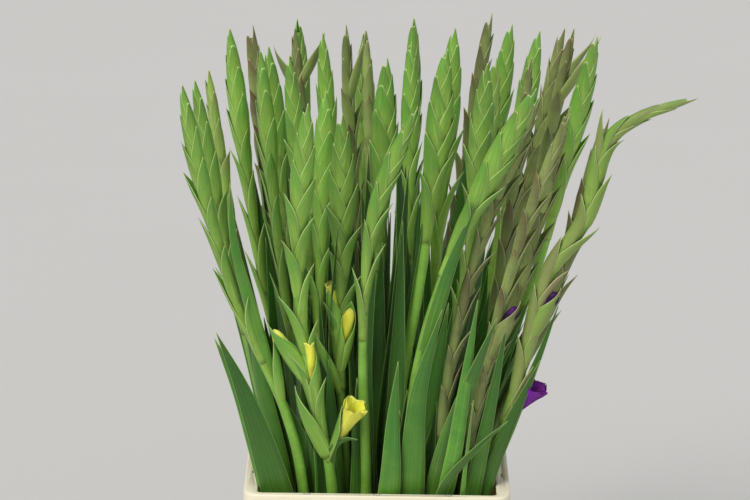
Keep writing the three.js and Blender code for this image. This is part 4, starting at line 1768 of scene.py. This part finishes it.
    def leaf_line(self, leaf: LeafPlan) -> Path:
        """The centre line of a planned leaf.

        Args:
            leaf: Its plan.

        Returns:
            The line.
        """
        if leaf.points:
            return Path([self.path.at(self.path.share_at(leaf.start)), *leaf.points])
        away = np.array([0.0, leaf.side * self.clearance, 0.0])
        return self.beside(leaf.start, leaf.top, np.array([leaf.drift, 0.0, 0.0]), away)

    def beside(self, start: float, top: float, drift: Array, away: Array) -> Path:
        """A centre line that leaves the stalk and rises beside it.

        Args:
            start: The height at which it leaves the stalk.
            top: The height of its tip.
            drift: How far and which way its tip drifts from the stalk's line.
            away: How far and which way it stands off the stalk.

        Returns:
            The line.
        """
        line = []
        for share, clear in ((0, 0), (0.3, 1), (0.65, 1.1), (1, 1.1)):
            point = self.path.at(self.path.share_at(start + (top - start) * share)) + away * clear
            line.append(point + drift * share**2)
        return Path(line)

    def _blade(
        self, shape: Shape, line: Path, width: float, turn: float, fold: float, light: float
    ) -> None:
        """Adds one sword leaf.

        Args:
            shape: The leaves' shape.
            line: Its centre line.
            width: Its greatest width.
            turn: The way it faces, in degrees from the front.
            fold: How deeply it is folded along its middle, as a share of its width.
            light: How much lighter it is than the others. The leaves that fill in are painted
                darker here, a painted shade among the stems.
        """
        draw, form = self.random, self.blade
        s, rows, columns = grid(form.rows, form.columns)
        centre, tangent = line.at(s), line.tangent(s)
        across = unit(np.cross(tangent, facing(math.radians(turn))))
        face = unit(np.cross(across, tangent))
        twist = math.radians(draw.normal() * form.twist) * rows**2
        cos, sin = np.cos(twist), np.sin(twist)
        across, face = across * cos + face * sin, face * cos - across * sin
        half = self.half_width(s, width)[:, None]
        depth = fold * (1 - 0.6 * rows) * np.abs(columns) ** 1.3
        # Its edges sway in a slow and a quick wave
        slow, quick = draw.uniform(0, math.tau, 2)
        sway = form.slow_sway * np.sin(9 * rows + slow) * columns**2 * np.sign(columns)
        sway = sway + form.quick_sway * np.sin(23 * rows + quick) * np.abs(columns) ** 3
        middle = centre[:, None] + across[:, None] * (half * columns)[..., None]
        middle = middle - face[:, None] * ((depth + sway) * half)[..., None]
        thick = form.half_thickness * (1 - 0.5 * np.abs(columns)) * (1 - 0.4 * rows)
        lift = face[:, None] * thick[..., None]
        shape.shell(
            middle - lift,
            middle + lift,
            across=columns,
            along=rows,
            edge=(1 - np.abs(columns)) * half,
            tone=np.clip(0.5 + form.tones * draw.normal(), 0, 1) + light,
            flush=form.flush * self.dusky * draw.uniform(0, 1),
            dry=draw.uniform(0, 0.5)
            * np.clip((rows - form.dry_from) / (1 - form.dry_from), 0, 1),
        )

    def _further_leaf(self, shape: Shape) -> None:
        """Adds one of the leaves that fill in. In the outer rows it is low or turns inward.

        Args:
            shape: The leaves' shape.
        """
        draw, ways = self.random, self.further
        rim_x, rim_y = self.plan.rim
        front_row, back_row = rim_y < -self.outer_row, rim_y > self.outer_row
        if front_row:
            angle = math.pi + draw.uniform(*ways.behind)
        else:
            angle = draw.uniform(-math.pi, math.pi)
        away = facing(angle) * draw.uniform(*ways.away)
        if abs(rim_x) > self.outer_side:
            away[0] = -math.copysign(away[0], rim_x)
        if back_row:
            away[1] = -abs(away[1])
        if front_row:
            tops = ways.front_tops
        elif rim_x > ways.right_from:
            tops = ways.right_tops
        else:
            tops = ways.left_tops if rim_x < -self.outer_side else ways.tops
        top = draw.uniform(*tops)
        reach = draw.uniform(*(ways.across_front if front_row else ways.across_rows))
        if front_row or back_row:
            reach = -abs(reach)
        drift = np.array([draw.uniform(*ways.sideways), reach, 0.0])
        line = self.beside(draw.uniform(*ways.start), top, drift, away)
        turn = math.degrees(angle) + draw.normal() * ways.turn
        # Its tone carries the painted shade of the leaves that fill in
        self._blade(shape, line, draw.uniform(*ways.width), turn, ways.fold, ways.light)

    def leaves(self) -> Piece:
        """The stem's sword leaves: the planned ones, and further ones that fill in behind them.

        Returns:
            The piece.
        """
        shape = Shape()
        for leaf in self.plan.leaves:
            turn = 0 if leaf.points else self.leaf_turns[self.order % len(self.leaf_turns)]
            line = self.leaf_line(leaf)
            self._blade(shape, line, leaf.width, turn, self.leaf_fold, leaf.light)
        front_row = self.plan.rim[1] < -self.outer_row
        for _ in range(self.further.count_in_front if front_row else self.further.count):
            self._further_leaf(shape)
        return shape.build(self.plan.name + "_leaves", self.palette.leaf_green)

    def build(self) -> None:
        """Makes and places the stem's three pieces."""
        slot = "dusky_stem" if self.dusky else "green_stem"
        place(self.stalk(), slot, self.plan.name)
        place(self.spike(), slot, self.plan.name)
        place(self.leaves(), slot, self.plan.name)


# Buds and flowers


def place_petals(shape: Shape, plan: BudPlan | FlowerPlan, part: str, palette: Palette) -> None:
    """Makes and places the petals of a bud or flower.

    Args:
        shape: Their shape.
        plan: The bud or flower.
        part: What its piece's name ends with.
        palette: The finishes.
    """
    material = {YELLOW: palette.petal_yellow, PURPLE: palette.petal_purple}[plan.tint]
    place(shape.build(plan.name + part, material), f"{plan.tint.value}_petal", plan.name)


@dataclass
class Bud:
    """The rolled petals that show at the tip of a bract.

    Attributes:
        plan: Where it grows and how it looks.
        stem: Its stem.
        foot: Where the petals start, as a share of the bract's length.
        stops: Shares of the petals' length at which a profile's radii lie.
        opened_profile: The radii of a bud with an open tip.
        shut_profile: The radii of a shut bud.
        tip_rings: The radii of the two rings that close the tip, as shares of the last.
        tip_drops: How far they lie below it. The second does so only where the tip is open.
        rolled: How far the petals turn round from foot to tip, in radians.
        folds: How much they swell the bud, and how much their edges do.
        nod: How far the tip bends towards the bract's back.
        torn_from: The share of the petals' length from which they are torn.
        torn: How far a shut tip and an open one are.
        dark: How much of its paler end a purple bud shows.
    """

    plan: BudPlan
    stem: Stem
    rings: int = 26
    sides: int = 30
    foot: float = 0.3
    stops: Numbers = (0, 0.3, 0.6, 0.82, 0.93, 1)
    opened_profile: Numbers = (2.0, 4.0, 5.2, 4.6, 4.2, 5.2)
    shut_profile: Numbers = (2.0, 4.2, 5.8, 5.8, 4.3, 1.3)
    tip_rings: Pair = (0.84, 0.5)
    tip_drops: Pair = (0.4, 5.0)
    petals: int = 3
    rolled: float = 2.2
    folds: Pair = (0.09, 0.05)
    nod: float = 1.6
    torn_from: float = 0.93
    torn: Pair = (0.25, 1.0)
    dark: float = 0.1

    def build(self) -> None:
        """Makes and places the bud."""
        opened = self.plan.opened
        profile = self.opened_profile if opened else self.shut_profile
        seat = self.stem.seat(self.plan)
        s = np.linspace(0, 1, self.rings)
        radius = np.interp(s, self.stops, profile)
        height = between((self.foot, self.plan.shows), s) * seat.length
        # Two more rings close the tip, or lead down into it where it is open
        radius = np.concatenate([radius, [profile[-1] * ring for ring in self.tip_rings]])
        near, far = self.tip_drops
        height = np.concatenate([height, [height[-1] - near, height[-1] - opened * far]])
        rows = np.concatenate([s, [1.0, 0.9]])[:, None]
        # The petals are rolled round each other, and their tips are torn
        angle = np.linspace(0, math.tau, self.sides, endpoint=False)
        roll = np.cos(self.petals * (angle[None, :] + self.rolled * rows))
        swell, ridge = self.folds
        wide = radius[:, None] * (1 + swell * roll + ridge * np.maximum(roll, 0) ** 4)
        centre = seat.root + seat.along * height[:, None] + seat.keel * (self.nod * rows)
        rings = centre[:, None] + seat.outward(-angle)[None] * wide[..., None]
        torn = np.sin(4 * angle + 0.8) + 0.6 * np.sin(9 * angle + 2.0)
        torn = torn[None, :] * (rows > self.torn_from) * self.torn[opened]
        shape = Shape()
        shape.tube(
            rings + seat.along * torn[..., None], across=angle[None, :] / math.pi - 1,
            along=rows * (1.0 if self.plan.tint is YELLOW else self.dark), edge=(1 - rows) * 20,
        )
        place_petals(shape, self.plan, "_petals", self.stem.palette)


@dataclass
class Flower:
    """A half-opened funnel of six tepals with its stamens.

    Attributes:
        plan: Where it grows and how it looks.
        stem: Its stem.
        profile: The funnel's radius from its foot to its mouth.
        long: The funnel's length.
        spread: Half the width of a tepal round the funnel, in degrees.
        style_longer: How much longer the style is.
        stamen_lean: How far they lean outward.
        stamen_stops: Shares of a stamen's length at which its radii lie.
        stamen_profile: The radii of its thread and its anther.
    """

    plan: FlowerPlan
    stem: Stem
    rows: int = 20
    columns: int = 13
    profile: Numbers = (3.0, 4.8, 7.6, 10.8, 13.6)
    long: float = 54
    spread: float = 54
    stamens: int = 3
    stamen_length: float = 27
    style_longer: float = 3
    stamen_lean: float = 0.11
    stamen_stops: Numbers = (0, 0.74, 0.78, 0.97, 1)
    stamen_profile: Numbers = (0.35, 0.3, 0.95, 0.85, 0.2)

    def _tepal(self, shape: Shape, seat: Seat, number: int) -> None:
        """Adds one tepal. Odd ones are inside the even ones.

        Args:
            shape: The flower's shape.
            seat: Where the flower grows.
            number: Which of the six it is.
        """
        draw, size = self.stem.random, self.plan.size
        _, rows, columns = grid(self.rows, self.columns)
        inside = number % 2
        middle = number * math.tau / 6 + draw.normal() * 0.06
        blunt = np.sqrt(np.clip(1 - ((rows - 0.74) / 0.26).clip(0) ** 2.6, 0.02, 1))
        half = math.radians(self.spread) * blunt
        # Its distance from the flower's middle, with a curled and ruffled end
        wide = bezier(self.profile, rows) * between((1.0, self.plan.mouth), rows)
        wide = wide - inside * 0.8 * rows
        curl = 0.8 * np.clip((rows - 0.7) / 0.3, 0, 1) ** 2 + 0.7 * number * rows**3
        ruffle = np.sin(7 * columns + 3 * number) * np.clip((rows - 0.55) / 0.45, 0, 1) ** 2
        radius = wide + curl + 0.8 * ruffle * np.abs(columns)
        # Its height, with a ragged end
        ragged = 0.9 * np.sin(23 * columns + 2 * number) * rows**8
        high = (self.long - 3.0 * inside) * rows + 1.2 * ruffle + ragged
        high = high + draw.normal() * 1.2 * rows**3
        outward = seat.outward(middle + half * columns)
        centre = seat.root + seat.along * self.plan.foot
        face = centre + (outward * radius[..., None] + seat.along * high[..., None]) * size
        margin = (1 - np.abs(columns)) * half * wide
        shape.shell(
            face, face - outward * 0.45 * size, across=columns, along=rows,
            edge=np.minimum(margin, (1 - rows) * self.long),
        )

    def _threads(self, shape: Shape, seat: Seat) -> None:
        """Adds the stamens and the style between them.

        Args:
            shape: The flower's shape.
            seat: Where the flower grows.
        """
        size = self.plan.size
        s = np.linspace(0, 1, 12)
        radius = np.interp(s, self.stamen_stops, self.stamen_profile) * size
        start = seat.root + seat.along * (self.plan.foot + 2)
        for number in range(self.stamens + 1):
            style = number == self.stamens
            angle = number * 2.1
            lean = 0.0 if style else self.stamen_lean
            outward = math.cos(angle) * seat.keel + math.sin(angle) * seat.across
            reach = (self.stamen_length + self.style_longer * style) * size
            centre = start + (seat.along + outward * lean) * (s * reach)[:, None]
            tangent = np.tile(unit(seat.along + outward * lean), (len(s), 1))
            shape.tube(self.stem.ring(centre, tangent, radius, 8), along=1.0, edge=5.0)

    def build(self) -> None:
        """Makes and places the flower."""
        seat = self.stem.seat(self.plan)
        shape = Shape()
        for number in range(6):
            self._tepal(shape, seat, number)
        self._threads(shape, seat)
        place_petals(shape, self.plan, "_tepals", self.stem.palette)


# Bucket and water


@dataclass
class Bucket:
    """The rectangular flower bucket, with a flange round its mouth and the water in it."""

    palette: Palette
    height: float = RIM_HEIGHT
    base_half: Pair = (112, 127)
    top_half: Pair = (130, 147)
    flange_half: Pair = (134, 151)
    flange_drop: float = 18
    wall: float = 3
    corner: float = 14
    corner_steps: int = 10
    mouth_half: Pair = (120, 143.6)
    mouth_corner: float = 5
    lip: float = 3.2
    marks_front: Numbers = (-70, 0, 72)
    marks_side: Numbers = (-90, 90)
    strokes: tuple[Pair, ...] = ((-2.7, 0.2), (0.0, -0.3), (2.6, 0.3))
    stroke: tuple[float, float, float] = (2.2, 1.5, 1.2)
    mark_inset: Pair = (7.5, 4)

    def half(self, height: float) -> Array:
        """The half sizes of the outer wall at a height."""
        share = height / (self.height - self.flange_drop)
        return between((np.array(self.base_half), np.array(self.top_half)), share)

    def ring(self, half: Sequence[float], radius: float, height: float) -> Array:
        """A rounded rectangle of points at one height.

        Args:
            half: Its half sizes.
            radius: The radius of its corners.
            height: Its height.

        Returns:
            Its points, turning left as seen from above.
        """
        ring = []
        for corner in range(4):
            sign_x = 1 if corner in (0, 3) else -1
            sign_y = 1 if corner < 2 else -1
            for step in range(self.corner_steps + 1):
                angle = (corner + step / self.corner_steps) * math.pi / 2
                x = sign_x * (half[0] - radius) + radius * math.cos(angle)
                y = sign_y * (half[1] - radius) + radius * math.sin(angle)
                ring.append((x, y, height))
        return np.array(ring)

    def rings(self) -> Array:
        """The bucket's outline from its underside, over the rim and down to its floor.

        Returns:
            Rings of points, of shape (rings, points, 3).
        """
        under = self.height - self.flange_drop
        flange = np.array(self.flange_half)
        mouth = np.array(self.mouth_half)
        round_mouth = self.mouth_corner
        round_out = self.corner + 2
        round_in = self.corner - self.wall
        lip_under = self.height - self.lip
        # Half sizes, corner radius and height of each ring
        found = [
            (self.half(0) - 2, self.corner - 2, 0),
            (self.half(0.6) - 0.6, self.corner - 0.6, 0.6),
            (self.half(2.2), self.corner, 2.2),
        ]
        levels = np.linspace(12, under - 1.5, 9)
        found += [(self.half(level), self.corner, level) for level in levels]
        found += [
            (self.half(under) + 0.3, self.corner, under - 0.2),
            (flange - 1.4, round_out - 1, under + 1.6),
            (flange - 0.3, round_out, under + 2.6),
            (flange, round_out, under + 4.2),
            (flange, round_out, self.height - 1.6),
            (flange - 0.4, round_out - 0.4, self.height - 0.6),
            (flange - 1.4, round_out - 1.2, self.height),
            (mouth + 1.2, round_mouth + 1.2, self.height),
            (mouth + 0.3, round_mouth + 0.3, self.height - 0.5),
            (mouth, round_mouth, self.height - 1.4),
            (mouth, round_mouth, lip_under),
            (mouth + 0.6, round_mouth + 0.4, lip_under - 0.6),
            (self.half(under) - self.wall, round_in, lip_under - 1.2),
        ]
        levels = np.linspace(self.height - 12, self.wall + 6, 8)
        found += [(self.half(level) - self.wall, round_in, level) for level in levels]
        found += [
            (self.half(self.wall) - self.wall - 1.2, round_in, self.wall + 1.2),
            (self.half(self.wall) - self.wall - 5, round_in - 3, self.wall),
        ]
        return np.array([self.ring(half, radius, height) for half, radius, height in found])

    def _pit(self, shape: Shape, x: float, y: float, shift: Pair, lies_along: bool) -> None:
        """Adds one stroke of a mark to the cutter.

        Args:
            shape: The cutter's shape.
            x: The middle of the mark.
            y: The middle of the mark.
            shift: The stroke's place in the mark, along it and across it.
            lies_along: Whether the mark lies along x.
        """
        length, width, depth = self.stroke
        size = np.array((length, width) if lies_along else (width, length)) / 2
        middle = np.array((x, y)) + (shift if lies_along else shift[::-1])
        corners = [middle + size * turn for turn in ((-1, -1), (1, -1), (1, 1), (-1, 1))]
        levels = (self.height - depth, self.height + 2)
        shape.tube(np.array([[(*corner, level) for corner in corners] for level in levels]))

    def cut_marks(self, piece: Piece) -> None:
        """Sinks the small moulded marks into the top of the flange, with their pits painted dark as
        a painted shade.

        Args:
            piece: The bucket.
        """
        shape = Shape()
        side_x, front_y = np.array(self.flange_half) - self.mark_inset
        places = [(x, sign * front_y, True) for sign in (-1, 1) for x in self.marks_front]
        places += [(sign * side_x, y, False) for sign in (-1, 1) for y in self.marks_side]
        for x, y, lies_along in places:
            for shift in self.strokes:
                self._pit(shape, x, y, shift, lies_along)
        # The cutter's dark finish passes to the pits' walls and floors: a painted shade in the
        # recesses
        cutter = shape.build("rim_cutter", self.palette.mark_painted_shade)
        cut = piece.modifiers.new("marks", "BOOLEAN")
        cut.operation = "DIFFERENCE"
        cut.solver = "EXACT"
        cut.material_mode = "TRANSFER"
        cut.object = cutter
        dressed = piece.evaluated_get(bpy.context.evaluated_depsgraph_get())
        made = bpy.data.meshes.new_from_object(dressed)
        piece.modifiers.clear()
        piece.data = made
        bpy.data.objects.remove(cutter)

    def build(self) -> None:
        """Makes and places the bucket, and gives the water its finish."""
        shape = Shape()
        shape.tube(self.rings(), edge=FAR_IN)
        piece = shape.build("bucket_shell", self.palette.bucket_cream)
        self.cut_marks(piece)
        place(piece, "bucket_plastic", "bucket")
        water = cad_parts["water"]
        water.data.materials.clear()
        water.data.materials.append(self.palette.water)
        LOG.info("water: %d faces", len(water.data.polygons))


# Surroundings


@dataclass(frozen=True)
class Sun:
    """A very soft distant light.

    Attributes:
        shines: The direction that it shines in.
        spread: How wide it looks from the object, in degrees.
    """

    name: str
    shines: Point
    power: float
    spread: float
    tint: Colour


@dataclass
class Studio:
    """The pale floor, the soft lights and the camera at the photograph's viewing angle."""

    palette: Palette
    suns: tuple[Sun, ...] = (
        Sun("key", (0.5, 0.62, -0.9), 2.3, 34, (1.0, 0.985, 0.96)),
        Sun("fill", (-0.6, 0.7, -0.5), 0.45, 70, (0.96, 0.98, 1.0)),
    )
    room_tint: Colour = (0.97, 0.98, 1.0)
    room_light: float = 0.3
    camera_at: Point = (-5.4, -2927.2, 1501.0)
    pitch: float = 18
    roll: float = 0.8
    lens: float = 144
    sensor: float = 36
    sees_to: float = 60000
    floor_half: float = 14000

    def floor(self) -> None:
        """Lays the floor."""
        half = self.floor_half * MM
        mesh = bpy.data.meshes.new("floor")
        corners = [(-half, -half, 0), (half, -half, 0), (half, half, 0), (-half, half, 0)]
        mesh.from_pydata(corners, [], [(0, 1, 2, 3)])
        mesh.materials.append(self.palette.floor)
        show("floor", mesh)

    def hang(self, sun: Sun) -> None:
        """Hangs one light.

        Args:
            sun: The light.
        """
        data = bpy.data.lights.new(sun.name, "SUN")
        data.energy = sun.power
        data.angle = math.radians(sun.spread)
        data.color = sun.tint
        turn = Vector(sun.shines).to_track_quat("-Z", "Y").to_euler()
        show(sun.name, data).rotation_euler = turn

    def camera(self) -> None:
        """Sets the camera."""
        pitch, roll = math.radians(self.pitch), math.radians(self.roll)
        ahead = Vector((0, math.cos(pitch), -math.sin(pitch)))
        level = Vector((1, 0, 0))
        rise = Vector((0, math.sin(pitch), math.cos(pitch)))
        right = level * math.cos(roll) + rise * math.sin(roll)
        up = rise * math.cos(roll) - level * math.sin(roll)
        data = bpy.data.cameras.new("camera")
        data.lens = self.lens
        data.sensor_width = self.sensor
        data.clip_end = self.sees_to * MM
        camera = show("camera", data)
        turn = Matrix((right, up, -ahead)).transposed().to_4x4()
        camera.matrix_world = Matrix.Translation(Vector(self.camera_at) * MM) @ turn
        bpy.context.scene.camera = camera

    def build(self) -> None:
        """Sets up everything round the object."""
        scene = bpy.context.scene
        scene.view_settings.view_transform = "Standard"
        world = bpy.data.worlds.new("soft_room")
        world.use_nodes = True
        room = world.node_tree.nodes["Background"]
        Wires(world.node_tree).fill(room, Color=self.room_tint, Strength=self.room_light)
        scene.world = world
        self.floor()
        for sun in self.suns:
            self.hang(sun)
        self.camera()


def main() -> None:
    """Builds the bunch, its bucket and the studio, in order."""
    logging.basicConfig(level=logging.INFO, format="%(message)s")
    palette = Palette()
    Bucket(palette).build()
    stems = {plan.name: Stem(plan, order, palette) for order, plan in enumerate(STEMS)}
    for stem in stems.values():
        stem.build()
    for bud in BUDS:
        Bud(bud, stems[bud.stem]).build()
    for flower in FLOWERS:
        Flower(flower, stems[flower.stem]).build()
    Studio(palette).build()


if __name__ == "__main__":
    main()
